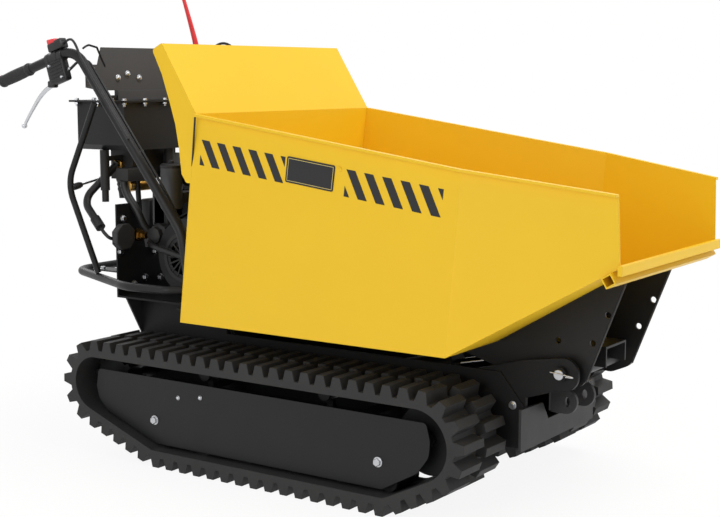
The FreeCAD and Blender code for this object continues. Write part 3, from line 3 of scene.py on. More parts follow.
import bmesh
import bpy
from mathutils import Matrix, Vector


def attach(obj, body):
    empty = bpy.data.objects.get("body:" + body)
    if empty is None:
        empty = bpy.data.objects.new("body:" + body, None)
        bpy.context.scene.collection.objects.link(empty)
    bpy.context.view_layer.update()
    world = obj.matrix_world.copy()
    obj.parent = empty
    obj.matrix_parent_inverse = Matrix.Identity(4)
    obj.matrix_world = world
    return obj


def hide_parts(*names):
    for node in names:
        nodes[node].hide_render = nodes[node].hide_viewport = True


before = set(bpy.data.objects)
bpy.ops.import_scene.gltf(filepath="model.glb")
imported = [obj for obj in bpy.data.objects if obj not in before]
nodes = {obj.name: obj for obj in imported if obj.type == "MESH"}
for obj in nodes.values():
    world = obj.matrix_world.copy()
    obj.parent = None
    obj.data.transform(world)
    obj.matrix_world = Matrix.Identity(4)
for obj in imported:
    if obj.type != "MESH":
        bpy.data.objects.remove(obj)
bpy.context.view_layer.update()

# Camera: a long lens from the front left corner, slightly above the load tray,
# at the place where the photograph was taken.
camera_data = bpy.data.cameras.new("camera")
camera_data.lens = 68.165
camera_data.sensor_fit = "HORIZONTAL"
camera_data.sensor_width = 36
camera = bpy.data.objects.new("camera", camera_data)
camera.location = (1.9577, -2.7128, 0.9376)
camera.rotation_euler = (math.radians(90 - 7.666), 0, math.radians(34.544))
bpy.context.scene.collection.objects.link(camera)
bpy.context.scene.camera = camera

# Light: an even sky that is plain white to the camera, in reflections and through glass, a
# broad key lamp high over the tray, a side lamp beside the camera and a weaker one behind.
bpy.context.scene.view_settings.view_transform = "Standard"


def backdrop_rays(tree):
    """1 for the rays that see the backdrop: the camera's, glossy and transmission rays."""
    ray = tree.nodes.new("ShaderNodeLightPath")
    camera_or_gloss = tree.nodes.new("ShaderNodeMath")
    camera_or_gloss.operation = "MAXIMUM"
    seen = tree.nodes.new("ShaderNodeMath")
    seen.operation = "MAXIMUM"
    tree.links.new(ray.outputs["Is Camera Ray"], camera_or_gloss.inputs[0])
    tree.links.new(ray.outputs["Is Glossy Ray"], camera_or_gloss.inputs[1])
    tree.links.new(camera_or_gloss.outputs["Value"], seen.inputs[0])
    tree.links.new(ray.outputs["Is Transmission Ray"], seen.inputs[1])
    return seen.outputs["Value"]


world = bpy.data.worlds.new("studio_sky")
bpy.context.scene.world = world
world.use_nodes = True
sky = world.node_tree
level = sky.nodes.new("ShaderNodeMapRange")
level.inputs["To Min"].default_value = 0.50
level.inputs["To Max"].default_value = 1.0
sky.nodes["Background"].inputs["Color"].default_value = (1, 1, 1, 1)
sky.links.new(backdrop_rays(sky), level.inputs["Value"])
sky.links.new(level.outputs["Result"], sky.nodes["Background"].inputs["Strength"])


def area_lamp(name, place, target, size, power):
    data = bpy.data.lights.new(name, "AREA")
    data.shape = "DISK"
    data.size = size
    data.energy = power
    lamp = bpy.data.objects.new(name, data)
    lamp.location = place
    lamp.rotation_euler = (Vector(target) - Vector(place)).to_track_quat("-Z", "Y").to_euler()
    bpy.context.scene.collection.objects.link(lamp)


area_lamp("key_lamp", (2.0, 0.3, 3.8), (0, 0, 0.4), 2.0, 92)
area_lamp("side_lamp", (0.2, -4.4, 2.0), (0, 0, 0.5), 2.2, 46)
area_lamp("back_lamp", (-3.2, 1.0, 2.6), (-0.3, 0, 0.5), 1.6, 26)

# Floor: a white studio floor that runs out of view. It keeps a soft shadow near the
# machine and fades to the plain white of the backdrop further out.
bpy.ops.object.select_all(action="DESELECT")
bpy.ops.mesh.primitive_plane_add(size=60, location=(0, 0, 0))
floor = bpy.context.object
floor.name = "floor"
floor_finish = bpy.data.materials.new("studio_floor")
floor_finish.use_nodes = True
floor_tree = floor_finish.node_tree
floor_shader = floor_tree.nodes["Principled BSDF"]
floor_shader.inputs["Base Color"].default_value = (1, 1, 1, 1)
floor_shader.inputs["Roughness"].default_value = 0.9
floor_glow = floor_tree.nodes.new("ShaderNodeEmission")
floor_place = floor_tree.nodes.new("ShaderNodeTexCoord")
floor_reach = floor_tree.nodes.new("ShaderNodeVectorMath")
floor_reach.operation = "LENGTH"
floor_fade = floor_tree.nodes.new("ShaderNodeMapRange")
floor_fade.interpolation_type = "SMOOTHSTEP"
floor_fade.inputs["From Min"].default_value = 0.7
floor_fade.inputs["From Max"].default_value = 1.5
floor_fade.inputs["To Min"].default_value = 0.9
floor_fade.inputs["To Max"].default_value = 1.0
floor_seen = floor_tree.nodes.new("ShaderNodeMath")
floor_seen.operation = "MULTIPLY"
floor_mix = floor_tree.nodes.new("ShaderNodeMixShader")
floor_tree.links.new(floor_place.outputs["Object"], floor_reach.inputs[0])
floor_tree.links.new(floor_reach.outputs["Value"], floor_fade.inputs["Value"])
floor_tree.links.new(floor_fade.outputs["Result"], floor_seen.inputs[0])
floor_tree.links.new(backdrop_rays(floor_tree), floor_seen.inputs[1])
floor_tree.links.new(floor_seen.outputs["Value"], floor_mix.inputs["Fac"])
floor_tree.links.new(floor_shader.outputs["BSDF"], floor_mix.inputs[1])
floor_tree.links.new(floor_glow.outputs["Emission"], floor_mix.inputs[2])
floor_tree.links.new(floor_mix.outputs["Shader"],
                     floor_tree.nodes["Material Output"].inputs["Surface"])
floor.data.materials.append(floor_finish)

# Load tray: folded and welded sheet steel, powder coated yellow, with the square tube
# under its lip. The coat is even, with a fine orange peel and softly rounded edges.


def linear(red, green, blue):
    """A colour given in the eight-bit numbers of a picture, as the shaders take it."""
    scaled = [channel / 255 for channel in (red, green, blue)]
    return [c / 12.92 if c <= 0.04045 else ((c + 0.055) / 1.055) ** 2.4 for c in scaled] + [1]


def surface_group(name, inputs, outputs):
    group = bpy.data.node_groups.new(name, "ShaderNodeTree")
    for label, kind, value in inputs:
        socket = group.interface.new_socket(name=label, in_out="INPUT", socket_type=kind)
        socket.default_value = value
    for label, kind in outputs:
        group.interface.new_socket(name=label, in_out="OUTPUT", socket_type=kind)
    start = group.nodes.new("NodeGroupInput")
    end = group.nodes.new("NodeGroupOutput")
    return group, start, end


def noise(group, vector, scale, detail):
    """A noise texture whose scale is a number or another node's output."""
    texture = group.nodes.new("ShaderNodeTexNoise")
    texture.inputs["Detail"].default_value = detail
    group.links.new(vector, texture.inputs["Vector"])
    if isinstance(scale, (int, float)):
        texture.inputs["Scale"].default_value = scale
    else:
        group.links.new(scale, texture.inputs["Scale"])
    return texture.outputs["Fac"]


COLOUR, NUMBER, NORMAL = "NodeSocketColor", "NodeSocketFloat", "NodeSocketVector"
coat, start, end = surface_group(
    "surface_coat",
    [("Tone", COLOUR, (0.5, 0.5, 0.5, 1)), ("Worn Tone", COLOUR, (0.5, 0.5, 0.5, 1)),
     ("Gloss", NUMBER, 0.4), ("Grain", NUMBER, 0.15), ("Grain Scale", NUMBER, 420),
     ("Edge", NUMBER, 0.0012)],
    [("Colour", COLOUR), ("Roughness", NUMBER), ("Normal", NORMAL)],
)
place = coat.nodes.new("ShaderNodeTexCoord").outputs["Object"]
blend = coat.nodes.new("ShaderNodeMix")
blend.data_type = "RGBA"
coat.links.new(noise(coat, place, 6, 5), blend.inputs["Factor"])
coat.links.new(start.outputs["Tone"], blend.inputs["A"])
coat.links.new(start.outputs["Worn Tone"], blend.inputs["B"])
coat.links.new(blend.outputs["Result"], end.inputs["Colour"])
gloss = coat.nodes.new("ShaderNodeMath")
gloss.operation = "MULTIPLY_ADD"
gloss.inputs[1].default_value = 0.16
coat.links.new(noise(coat, place, 22, 6), gloss.inputs[0])
coat.links.new(start.outputs["Gloss"], gloss.inputs[2])
coat.links.new(gloss.outputs["Value"], end.inputs["Roughness"])
edge = coat.nodes.new("ShaderNodeBevel")
edge.samples = 4
coat.links.new(start.outputs["Edge"], edge.inputs["Radius"])
bumps = coat.nodes.new("ShaderNodeBump")
bumps.inputs["Distance"].default_value = 0.0004
coat.links.new(start.outputs["Grain"], bumps.inputs["Strength"])
coat.links.new(noise(coat, place, start.outputs["Grain Scale"], 2), bumps.inputs["Height"])
coat.links.new(edge.outputs["Normal"], bumps.inputs["Normal"])
coat.links.new(bumps.outputs["Normal"], end.inputs["Normal"])


def coated(name, tone, worn_tone, gloss_level, grain, edge_size, grain_scale=420, metal=0,
           shine=0.5):
    finish = bpy.data.materials.new(name)
    finish.use_nodes = True
    tree = finish.node_tree
    shader = tree.nodes["Principled BSDF"]
    shader.inputs["Metallic"].default_value = metal
    shader.inputs["Specular IOR Level"].default_value = shine
    layer = tree.nodes.new("ShaderNodeGroup")
    layer.node_tree = coat
    for label, value in (("Tone", tone), ("Worn Tone", worn_tone), ("Gloss", gloss_level),
                         ("Grain", grain), ("Grain Scale", grain_scale), ("Edge", edge_size)):
        layer.inputs[label].default_value = value
    for source, target in (("Colour", "Base Color"), ("Roughness", "Roughness"),
                           ("Normal", "Normal")):
        tree.links.new(layer.outputs[source], shader.inputs[target])
    return finish


def dress(finish, *names):
    for name in names:
        nodes[name].data.materials[0] = finish


yellow = coated("tray_yellow", linear(241, 197, 34), linear(238, 192, 31), 0.34, 0.12, 0.0015,
                shine=0.35)
dress(yellow, "tray_wall_left", "tray_wall_right", "tray_floor", "tray_rear", "lip_tube")

# Warning stickers: slanting black bars printed on film and stuck along both sides of the
# tray, parallel to the sloping rim.


def new_cube(name, centre, size):
    bpy.ops.object.select_all(action="DESELECT")
    bpy.ops.mesh.primitive_cube_add(size=1, location=centre)
    piece = bpy.context.object
    piece.name = name
    piece.scale = size
    bpy.ops.object.transform_apply(location=True, rotation=False, scale=True)
    return piece


def open_piece(piece, kind, test):
    """Opens the piece in edit mode with those of its parts chosen that pass the test."""
    bpy.ops.object.select_all(action="DESELECT")
    piece.select_set(True)
    bpy.context.view_layer.objects.active = piece
    bpy.ops.object.mode_set(mode="EDIT")
    bpy.ops.mesh.select_mode(type=kind)
    bpy.ops.mesh.select_all(action="DESELECT")
    mesh = bmesh.from_edit_mesh(piece.data)
    for item in {"VERT": mesh.verts, "EDGE": mesh.edges, "FACE": mesh.faces}[kind]:
        if test(item):
            item.select_set(True)
    mesh.select_flush_mode()
    bmesh.update_edit_mesh(piece.data)


def close_piece():
    bpy.ops.object.mode_set(mode="OBJECT")


def settle(piece):
    """Puts the piece's place and turn into its mesh."""
    bpy.ops.object.select_all(action="DESELECT")
    piece.select_set(True)
    bpy.context.view_layer.objects.active = piece
    bpy.ops.object.transform_apply(location=True, rotation=True, scale=True)


def copy_piece(piece, name, move=(0, 0, 0), turn=(0, 0, 0), flip=(1, 1, 1)):
    """A copy with a mesh of its own, turned and flipped about the origin and then moved."""
    bpy.ops.object.select_all(action="DESELECT")
    piece.select_set(True)
    bpy.context.view_layer.objects.active = piece
    bpy.ops.object.duplicate()
    twin = bpy.context.object
    twin.name = name
    twin.location = move
    twin.rotation_euler = turn
    twin.scale = flip
    settle(twin)
    if flip[0] * flip[1] * flip[2] < 0:
        open_piece(twin, "FACE", lambda face: True)
        bpy.ops.mesh.normals_make_consistent(inside=False)
        close_piece()
    return twin


def join_pieces(pieces, name):
    bpy.ops.object.select_all(action="DESELECT")
    for piece in pieces:
        piece.select_set(True)
    bpy.context.view_layer.objects.active = pieces[0]
    bpy.ops.object.join()
    pieces[0].name = name
    return pieces[0]


def give(piece, finish, body):
    piece.data.materials.clear()
    piece.data.materials.append(finish)
    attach(piece, body)
    return piece


sticker_black = coated("sticker_black", linear(34, 34, 36), linear(42, 42, 44), 0.35, 0.03, 0.0001,
                       shine=0.3)
SLOPE = math.radians(7.4)
BAND_HEIGHT, BAND_LONG, BAR_WIDE, BAR_STEP, BAR_LEAN = 0.0585, 0.243, 0.0232, 0.0458, 0.037
WALL_FACE = 0.348
for start_x, start_z, group_name in ((-0.1086, 0.7915, "rear"), (0.2950, 0.7395, "front")):
    bars = []
    for count in range(-1, 6):
        low = count * BAR_STEP
        bar = new_cube("bar", (low + BAR_WIDE / 2, 0, -BAND_HEIGHT / 2),
                       (BAR_WIDE, 0.0006, BAND_HEIGHT))
        open_piece(bar, "VERT", lambda vert: vert.co.z < -BAND_HEIGHT / 2)
        bpy.ops.transform.translate(value=(BAR_LEAN, 0, 0))
        for edge_x, outer in ((0, False), (BAND_LONG, True)):
            bpy.ops.mesh.select_all(action="SELECT")
            bpy.ops.mesh.bisect(
                plane_co=(edge_x, 0, 0), plane_no=(1, 0, 0), use_fill=True,
                clear_inner=not outer, clear_outer=outer,
            )
        close_piece()
        bars.append(bar)
    stripes = join_pieces(bars, "warning_stripes")
    for sign, side in ((1, "left"), (-1, "right")):
        twin = copy_piece(stripes, f"warning_stripes_{group_name}_{side}", turn=(0, SLOPE, 0),
                          move=(start_x, sign * (WALL_FACE + 0.0002), start_z))
        give(twin, sticker_black, "tray")
    bpy.data.objects.remove(stripes)

# Side plates: a blank black badge plate with a pale raised border between the stickers on
# each side, and the yellow plug of the rivet beside it.
BADGE_LONG, BADGE_HIGH, BADGE_THICK = 0.129, 0.057, 0.0024


def rounded(piece, size, steps=2, test=lambda edge: True):
    open_piece(piece, "EDGE", test)
    bpy.ops.mesh.bevel(offset=size, segments=steps, affect="EDGES")
    close_piece()
    bpy.ops.object.shade_smooth_by_angle(angle=math.radians(35))
    return piece


badge = rounded(new_cube("badge", (BADGE_LONG / 2, 0, -BADGE_HIGH / 2),
                         (BADGE_LONG, BADGE_THICK, BADGE_HIGH)), 0.004,
                test=lambda edge: abs(edge.verts[0].co.y - edge.verts[1].co.y) > 0.001)
for sign in (1, -1):
    open_piece(badge, "FACE", lambda face: face.normal.y * sign > 0.9)
    bpy.ops.mesh.inset(thickness=0.0024)
    bpy.ops.mesh.extrude_region_move(TRANSFORM_OT_translate={"value": (0, -sign * 0.0007, 0)})
    close_piece()


def turned(name, rings, sides=24):
    """A round piece along +Z, from its rings' radii and heights, closed at both ends."""
    bpy.ops.object.select_all(action="DESELECT")
    radius, height = rings[0]
    bpy.ops.mesh.primitive_circle_add(vertices=sides, radius=radius, fill_type="NGON",
                                      location=(0, 0, height))
    piece = bpy.context.object
    piece.name = name
    bpy.ops.object.transform_apply(location=True, rotation=False, scale=False)
    bpy.ops.object.mode_set(mode="EDIT")
    bpy.ops.mesh.select_all(action="SELECT")
    for next_radius, next_height in rings[1:]:
        bpy.ops.mesh.extrude_region_move(
            TRANSFORM_OT_translate={"value": (0, 0, next_height - height)})
        share = next_radius / radius
        bpy.ops.transform.resize(value=(share, share, 1), center_override=(0, 0, next_height))
        radius, height = next_radius, next_height
    bpy.ops.mesh.select_all(action="SELECT")
    bpy.ops.mesh.normals_make_consistent(inside=False)
    bpy.ops.object.mode_set(mode="OBJECT")
    bpy.ops.object.shade_smooth_by_angle(angle=math.radians(35))
    return piece


def aimed(piece, at, along):
    """Turns a piece's +Z along a direction and moves its origin to a place."""
    piece.rotation_euler = Vector(along).to_track_quat("Z", "Y").to_euler()
    piece.location = at
    settle(piece)
    return piece


for sign, side in ((1, "left"), (-1, "right")):
    twin = copy_piece(badge, "badge_plate_" + side, turn=(0, SLOPE, 0),
                      move=(0.1385, sign * (WALL_FACE + 0.0004), 0.7624))
    give(twin, sticker_black, "tray")
    plug = turned("badge_rivet_" + side, [(0.0052, -0.001), (0.0052, 0.0012), (0.0038, 0.0026),
                                          (0.0012, 0.003)], 16)
    aimed(plug, (0.2781, sign * WALL_FACE, 0.7394), (0, sign, 0))
    give(plug, yellow, "tray")
bpy.data.objects.remove(badge)
border_pale = coated("badge_border", linear(214, 196, 120), linear(204, 186, 112), 0.35, 0.05,
                     0.0002)
BORDER_LONG, BORDER_HIGH, BORDER_WIDE, BORDER_RAISED = 0.1208, 0.0501, 0.0013, 0.0006
BORDER_APART = (0.0604, 0.0244)
frame_parts = []
for bar_way in ("long", "high"):
    for edge in (1, -1):
        centre = Vector((BADGE_LONG / 2, 0, -BADGE_HIGH / 2))
        if bar_way == "long":
            centre.z += edge * BORDER_APART[1]
            size = (BORDER_LONG, BORDER_RAISED, BORDER_WIDE)
        else:
            centre.x -= edge * BORDER_APART[0]
            size = (BORDER_WIDE, BORDER_RAISED, BORDER_HIGH)
        frame_parts.append(rounded(new_cube("border", centre, size), 0.0002, 1))
border = join_pieces(frame_parts, "badge_border")
for sign, side in ((1, "left"), (-1, "right")):
    give(copy_piece(border, "badge_border_" + side, turn=(0, SLOPE, 0),
                    move=(0.1385, sign * (WALL_FACE + 0.0013), 0.7624)),
         border_pale, "tray")
bpy.data.objects.remove(border)

# Painted shadow: a thin black strip stands for the shade in the gap between the folded web of
# the load guard and the rear edge of each side wall; it is no real rubber seal.
for sign, side in ((1, "left"), (-1, "right")):
    gap_shadow_low = Vector((-0.1500, sign * 0.3408, 0.685))
    gap_shadow_high = Vector((-0.1180, sign * 0.3592, 0.843))
    gap_shadow = rounded(new_cube("painted_gap_shadow_" + side, (0, 0, (gap_shadow_high - gap_shadow_low).length / 2),
                            (0.0042, 0.0034, (gap_shadow_high - gap_shadow_low).length)), 0.001, 1)
    give(aimed(gap_shadow, gap_shadow_low, gap_shadow_high - gap_shadow_low), sticker_black, "tray")

# Paints and bare metals of the frame: satin black on plates and tubes, grey-black inside.
black = coated("satin_black", linear(20, 20, 21), linear(27, 27, 28), 0.36, 0.14, 0.001, shine=0.28)
frame_black = coated("frame_black", linear(20, 20, 21), linear(28, 28, 29), 0.42, 0.16, 0.001,
                     shine=0.2)
panel_black = coated("panel_black", linear(72, 72, 73), linear(78, 78, 79), 0.45, 0.14, 0.001,
                     shine=0.3)
plate_black = coated("front_plate_black", linear(50, 50, 51), linear(56, 56, 57), 0.42, 0.14,
                     0.001, shine=0.3)
iron = coated("cast_iron", linear(36, 36, 37), linear(46, 45, 44), 0.5, 0.6, 0.0015, 160, shine=0.3)
alloy = coated("cast_alloy", linear(74, 75, 77), linear(58, 59, 61), 0.42, 0.5, 0.001, 220,
               metal=0.5)
zinc = coated("zinc_plate", linear(205, 206, 208), linear(176, 178, 182), 0.22, 0.1, 0.0006, 600,
              metal=1)
chrome = coated("chrome_rod", linear(212, 213, 215), linear(200, 201, 204), 0.06, 0.02, 0.0006, 700,
                metal=1)
brass = coated("brass_fitting", linear(196, 156, 84), linear(160, 122, 62), 0.26, 0.15, 0.0006,
               500, metal=1)
rubber = coated("track_rubber", linear(33, 33, 34), linear(50, 49, 48), 0.56, 0.5, 0.0025, 260,
                shine=0.35)
hose_black = coated("hose_rubber", linear(22, 22, 23), linear(30, 30, 31), 0.38, 0.2, 0.0006, 500,
                    shine=0.4)
grip_black = coated("grip_rubber", linear(34, 34, 35), linear(42, 42, 43), 0.55, 0.7, 0.0008, 700,
                    shine=0.35)
plastic = coated("black_plastic", linear(28, 28, 29), linear(34, 34, 35), 0.42, 0.35, 0.0006, 650,
                 shine=0.4)
red = coated("red_plastic", linear(240, 66, 72), linear(232, 58, 64), 0.32, 0.1, 0.0012, 500,
             shine=0.5)
dress(black, "side_guard_left", "side_guard_right", "handlebar_left", "handlebar_right",
      "stay_left", "stay_right", "bumper_hoop", "oil_tank", "tip_plate_left", "tip_plate_right",
      "tip_channel", "cylinder_barrel", "fuel_tank", "fan_housing")
dress(frame_black, "track_frame_left", "track_frame_right", "drive_axle", "tub_side_left",
      "tub_side_right", "engine_deck", "pivot_pin")
dress(plate_black, "tub_floor", "tow_bracket")
dress(panel_black, "control_panel")
dress(iron, "gearbox", "valve_block", "muffler")
dress(alloy, "engine_block")
dress(chrome, "cylinder_rod")
dress(rubber, "track_left", "track_right")
dress(hose_black, "supply_hose", "tipping_hose", "clutch_cable_left", "clutch_cable_right")
dress(red, "tipping_lever")

# Bolts and nuts: zinc-plated hexagon screws with washers, domed screws and nuts with a
# thread end, as they hold the guards, the tank's lid and the plates of this machine.


def hex_bolt(name, thread):
    washer = turned(name, [(thread * 1.15, 0), (thread * 1.15, thread * 0.16),
                           (thread * 1.0, thread * 0.2)], 20)
    head = turned(name + "_head", [(thread * 0.9, 0), (thread * 0.92, thread * 0.3),
                                   (thread * 0.92, thread * 0.72), (thread * 0.8, thread * 0.86),
                                   (thread * 0.3, thread * 0.84)], 6)
    return join_pieces([washer, head], name)


def dome_bolt(name, reach):
    return turned(name, [(reach, 0), (reach, reach * 0.14), (reach * 0.86, reach * 0.2),
                         (reach * 0.82, reach * 0.36), (reach * 0.66, reach * 0.58),
                         (reach * 0.4, reach * 0.7), (reach * 0.12, reach * 0.74)], 24)


def thread_nut(name, thread):
    nut = turned(name, [(thread * 0.8, 0), (thread * 0.9, thread * 0.12),
                        (thread * 0.9, thread * 0.7), (thread * 0.8, thread * 0.8)], 6)
    end = turned(name + "_end", [(thread * 0.5, 0), (thread * 0.5, thread * 1.5),
                                 (thread * 0.38, thread * 1.65)], 14)
    return join_pieces([nut, end], name)


def repeated(piece, name, places, along):
    """The piece turned from +Z to a direction and copied to every place, as one piece."""
    turn = Vector(along).to_track_quat("Z", "Y").to_euler()
    twins = [copy_piece(piece, name, move=place, turn=turn) for place in places]
    bpy.data.objects.remove(piece)
    return join_pieces(twins, name)


GUARD_BOLTS = [(-0.2819, 0.1078), (0.3693, 0.1098)]
GUARD_SCREWS = [(-0.2057, 0.1728), (-0.1362, 0.1822)]
for sign, side in ((1, "left"), (-1, "right")):
    give(repeated(hex_bolt("bolt", 0.010), "guard_bolts_" + side,
                  [(x, sign * 0.337, z) for x, z in GUARD_BOLTS], (0, sign, 0)),
         zinc, "chassis")
    give(repeated(dome_bolt("screw", 0.0055), "guard_screws_" + side,
                  [(x, sign * 0.337, z) for x, z in GUARD_SCREWS], (0, sign, 0)),
         zinc, "chassis")

# Pivot pin: a turned steel pin with chamfered ends, held by a spring clip of round wire
# that passes through a cross hole in each end.


def piped(name, points, radius, taper=1):
    """A closed tube along a smooth curve through the space between its points. Its far end
    is as thick as the taper says."""
    bpy.ops.object.select_all(action="DESELECT")
    line = bpy.data.curves.new(name, "CURVE")
    line.dimensions = "3D"
    line.bevel_depth = radius
    line.bevel_resolution = 3
    line.use_fill_caps = True
    spline = line.splines.new("NURBS")
    spline.points.add(len(points) - 1)
    for point, place in zip(spline.points, points):
        point.co = (*place, 1)
    for count, point in enumerate(spline.points):
        point.radius = 1 + (taper - 1) * count / (len(points) - 1)
    spline.order_u = 3
    spline.use_endpoint_u = True
    spline.resolution_u = 6
    piece = bpy.data.objects.new(name, line)
    bpy.context.scene.collection.objects.link(piece)
    piece.select_set(True)
    bpy.context.view_layer.objects.active = piece
    bpy.ops.object.convert(target="MESH")
    open_piece(piece, "VERT", lambda vert: True)
    bpy.ops.mesh.remove_doubles(threshold=0.00001)
    bpy.ops.mesh.normals_make_consistent(inside=False)
    close_piece()
    bpy.ops.object.shade_smooth_by_angle(angle=math.radians(50))
    return piece


for sign, side in ((1, "left"), (-1, "right")):
    cap = turned("pin_cap", [(0.0112, 0), (0.0112, 0.0045), (0.0102, 0.0058), (0.004, 0.0058)], 32)
    give(aimed(cap, (0.710, sign * 0.1615, 0.313), (0, sign, 0)), zinc, "chassis")
    cap.name = "pin_cap_" + side
    wire_y = sign * 0.1690
    clip = piped("pin_clip_" + side, [
        (0.692, wire_y, 0.3175), (0.702, wire_y, 0.3168), (0.722, wire_y, 0.3150),
        (0.744, wire_y, 0.3128), (0.7455, wire_y, 0.3108), (0.728, wire_y, 0.3112)], 0.0014)
    give(clip, zinc, "chassis")

# Front cross plate: one zinc-plated bolt a side holds it to the tub's sides. A paler strip
# along the front edge of each tipping plate is a painted highlight, where the edge catches light.
for sign, side in ((1, "left"), (-1, "right")):
    give(repeated(hex_bolt("bolt", 0.008), "nose_bolts_" + side,
                  [(0.5975, sign * 0.155, 0.2302)], (0, sign, 0)),
         zinc, "chassis")
    low, high = Vector((0.7505, sign * 0.120, 0.2905)), Vector((0.8468, sign * 0.120, 0.5405))
    strip = rounded(new_cube("tip_plate_highlight_" + side, (0, 0, (high - low).length / 2),
                             (0.0012, 0.0060, (high - low).length * 0.97)), 0.0004, 1)
    give(aimed(strip, low, high - low), panel_black, "tray")

# Tow ears: two plates flame-cut to a D and welded to the cross plate, each with a slotted
# hole for the tow pin, under the same grey-black coat.
EAR_REACH, EAR_HALF, EAR_HOLE, EAR_BACK = 0.028, 0.005, 0.0072, 0.034
EAR_CENTRE, EAR_APART, CROSS_PLATE_FACE = (0.6710, 0.227), 0.0445, 0.6335
for sign, side in ((1, "left"), (-1, "right")):
    ear = turned("tow_ear_" + side, [(EAR_REACH, -EAR_HALF), (EAR_REACH, EAR_HALF)], 48)
    open_piece(ear, "VERT", lambda vert: vert.co.x < 0)
    bpy.ops.transform.resize(value=(0.15, 1, 1), center_override=(0, 0, 0))
    bpy.ops.transform.translate(value=(-EAR_BACK, 0, 0))
    close_piece()
    open_piece(ear, "EDGE", lambda edge: abs(edge.verts[0].co.z - edge.verts[1].co.z) < 0.001)
    bpy.ops.mesh.bevel(offset=0.0012, segments=2, affect="EDGES")
    close_piece()
    hole = turned("hole", [(EAR_HOLE, -4 * EAR_HALF), (EAR_HOLE, 4 * EAR_HALF)], 24)
    open_piece(hole, "VERT", lambda vert: True)
    bpy.ops.transform.resize(value=(0.8, 1.5, 1), center_override=(0, 0, 0))
    bpy.ops.transform.translate(value=(0.005, 0, 0))
    close_piece()
    cutter = ear.modifiers.new("hole", "BOOLEAN")
    cutter.object = hole
    cutter.solver = "EXACT"
    bpy.context.view_layer.objects.active = ear
    bpy.ops.object.modifier_apply(modifier="hole")
    bpy.data.objects.remove(hole)
    open_piece(ear, "FACE", lambda face: True)
    bpy.ops.mesh.faces_shade_flat()
    close_piece()
    ear.rotation_euler = (math.radians(90), 0, 0)
    ear.location = (EAR_CENTRE[0], sign * EAR_APART, EAR_CENTRE[1])
    settle(ear)
    open_piece(ear, "FACE", lambda face: True)
    bpy.ops.mesh.normals_make_consistent(inside=False)
    close_piece()
    weld = piped("ear_weld_" + side, [(CROSS_PLATE_FACE, sign * 0.0500, z)
                                      for z in (0.203, 0.218, 0.236, 0.251)], 0.0024)
    give(join_pieces([ear, weld], "tow_ear_" + side), plate_black, "chassis")
    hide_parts("tow_bracket")

# Handlebar grips: moulded rubber sleeves with a flange, fine rings and a rounded end.
GRIP_END = Vector((-0.8900, 0, 0.9190))
GRIP_WAY = Vector((0.9561, 0, 0.2931))
BAR_SIDE = 0.25
BAR_TURN = (0, math.radians(-17.05), 0)
rings = [(0.0095, 0.0004), (0.0138, 0.0012), (0.0158, 0.0040), (0.0166, 0.0090), (0.0158, 0.0125)]
for count in range(14):
    start = 0.0145 + count * 0.0064
    reach = 0.0154 + 0.0010 * math.sin(math.pi * count / 13)
    rings += [(reach - 0.0007, start), (reach, start + 0.0012), (reach, start + 0.0042),
              (reach - 0.0007, start + 0.0054)]
rings += [(0.0150, 0.1060), (0.0166, 0.1090), (0.0168, 0.1140), (0.0150, 0.1165), (0.0136, 0.1240)]
grip = turned("grip", rings, 28)
for sign, side in ((1, "left"), (-1, "right")):
    twin = aimed(copy_piece(grip, "grip_sleeve_" + side), GRIP_END + Vector((0, sign * BAR_SIDE, 0)),
                 GRIP_WAY)
    give(twin, grip_black, "chassis")
    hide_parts("grip_" + side)
bpy.data.objects.remove(grip)

# Clutch levers: a moulded black housing with slots, tilted with the bar and clamped on it by
# two small screws, and a bright cast lever that thins as it curves down to a ball end.
lever_metal = coated("polished_alloy", linear(214, 215, 217), linear(190, 192, 196), 0.2, 0.2,
                     0.0006, 420, metal=1)
for sign, side in ((1, "left"), (-1, "right")):
    y = sign * BAR_SIDE
    parts = [rounded(new_cube("housing", (0, 0, 0), (0.064, 0.024, 0.062)), 0.006, 3)]
    for count in range(6):
        parts.append(rounded(new_cube("rib", (0.002, 0, -0.0235 + count * 0.0090),
                                      (0.050, 0.0290, 0.0044)), 0.0014, 1))
    for part in parts:
        part.rotation_euler = BAR_TURN
        part.location = (-0.6735, y, 0.9475)
        settle(part)
    clamp = turned("clamp", [(0.0145, 0), (0.0164, 0.001), (0.0164, 0.011), (0.0152, 0.012),
                             (0.0152, 0.031), (0.0164, 0.032), (0.0164, 0.042), (0.0145, 0.043)],
                   28)
    parts.append(aimed(clamp, GRIP_END + Vector((0, y, 0)) + GRIP_WAY * 0.1885, GRIP_WAY))
    neck = rounded(new_cube("neck", (-0.6960, y, 0.9140), (0.026, 0.016, 0.018)), 0.004)
    parts.append(neck)
    housing = give(join_pieces(parts, "lever_housing_" + side), plastic, "chassis")
    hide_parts("clutch_lever_" + side)
    blade = piped("lever_blade_" + side, [
        (-0.690, y, 0.915), (-0.716, y, 0.904), (-0.746, y, 0.881), (-0.772, y, 0.851),
        (-0.793, y, 0.826), (-0.8075, y, 0.806)], 0.0064, 0.62)
    give(repeated(dome_bolt("screw", 0.0048), "lever_housing_bolts_" + side,
                  [(-0.6960, y + sign * 0.0120, 0.9600), (-0.6510, y + sign * 0.0120, 0.9330)],
                  (0, sign, 0)), zinc, "chassis")
    ball = aimed(turned("ball", [(0.0022, -0.0074), (0.0056, -0.005), (0.0075, 0), (0.0056, 0.005),
                                 (0.0022, 0.0074)], 20), (-0.808, y, 0.8055), (0, 1, 0))
    give(join_pieces([blade, ball], "lever_blade_" + side), lever_metal, "chassis")
    adjuster = turned("cable_adjuster_" + side, [
        (0.0035, 0), (0.0056, 0.001), (0.0056, 0.008), (0.0042, 0.009), (0.0042, 0.020),
        (0.0052, 0.021), (0.0052, 0.025), (0.0038, 0.026)], 6)
    aimed(adjuster, (-0.6560, y, 0.9390), (66, 22, 60) if sign < 0 else (54, -24, 22))
    give(adjuster, zinc, "chassis")

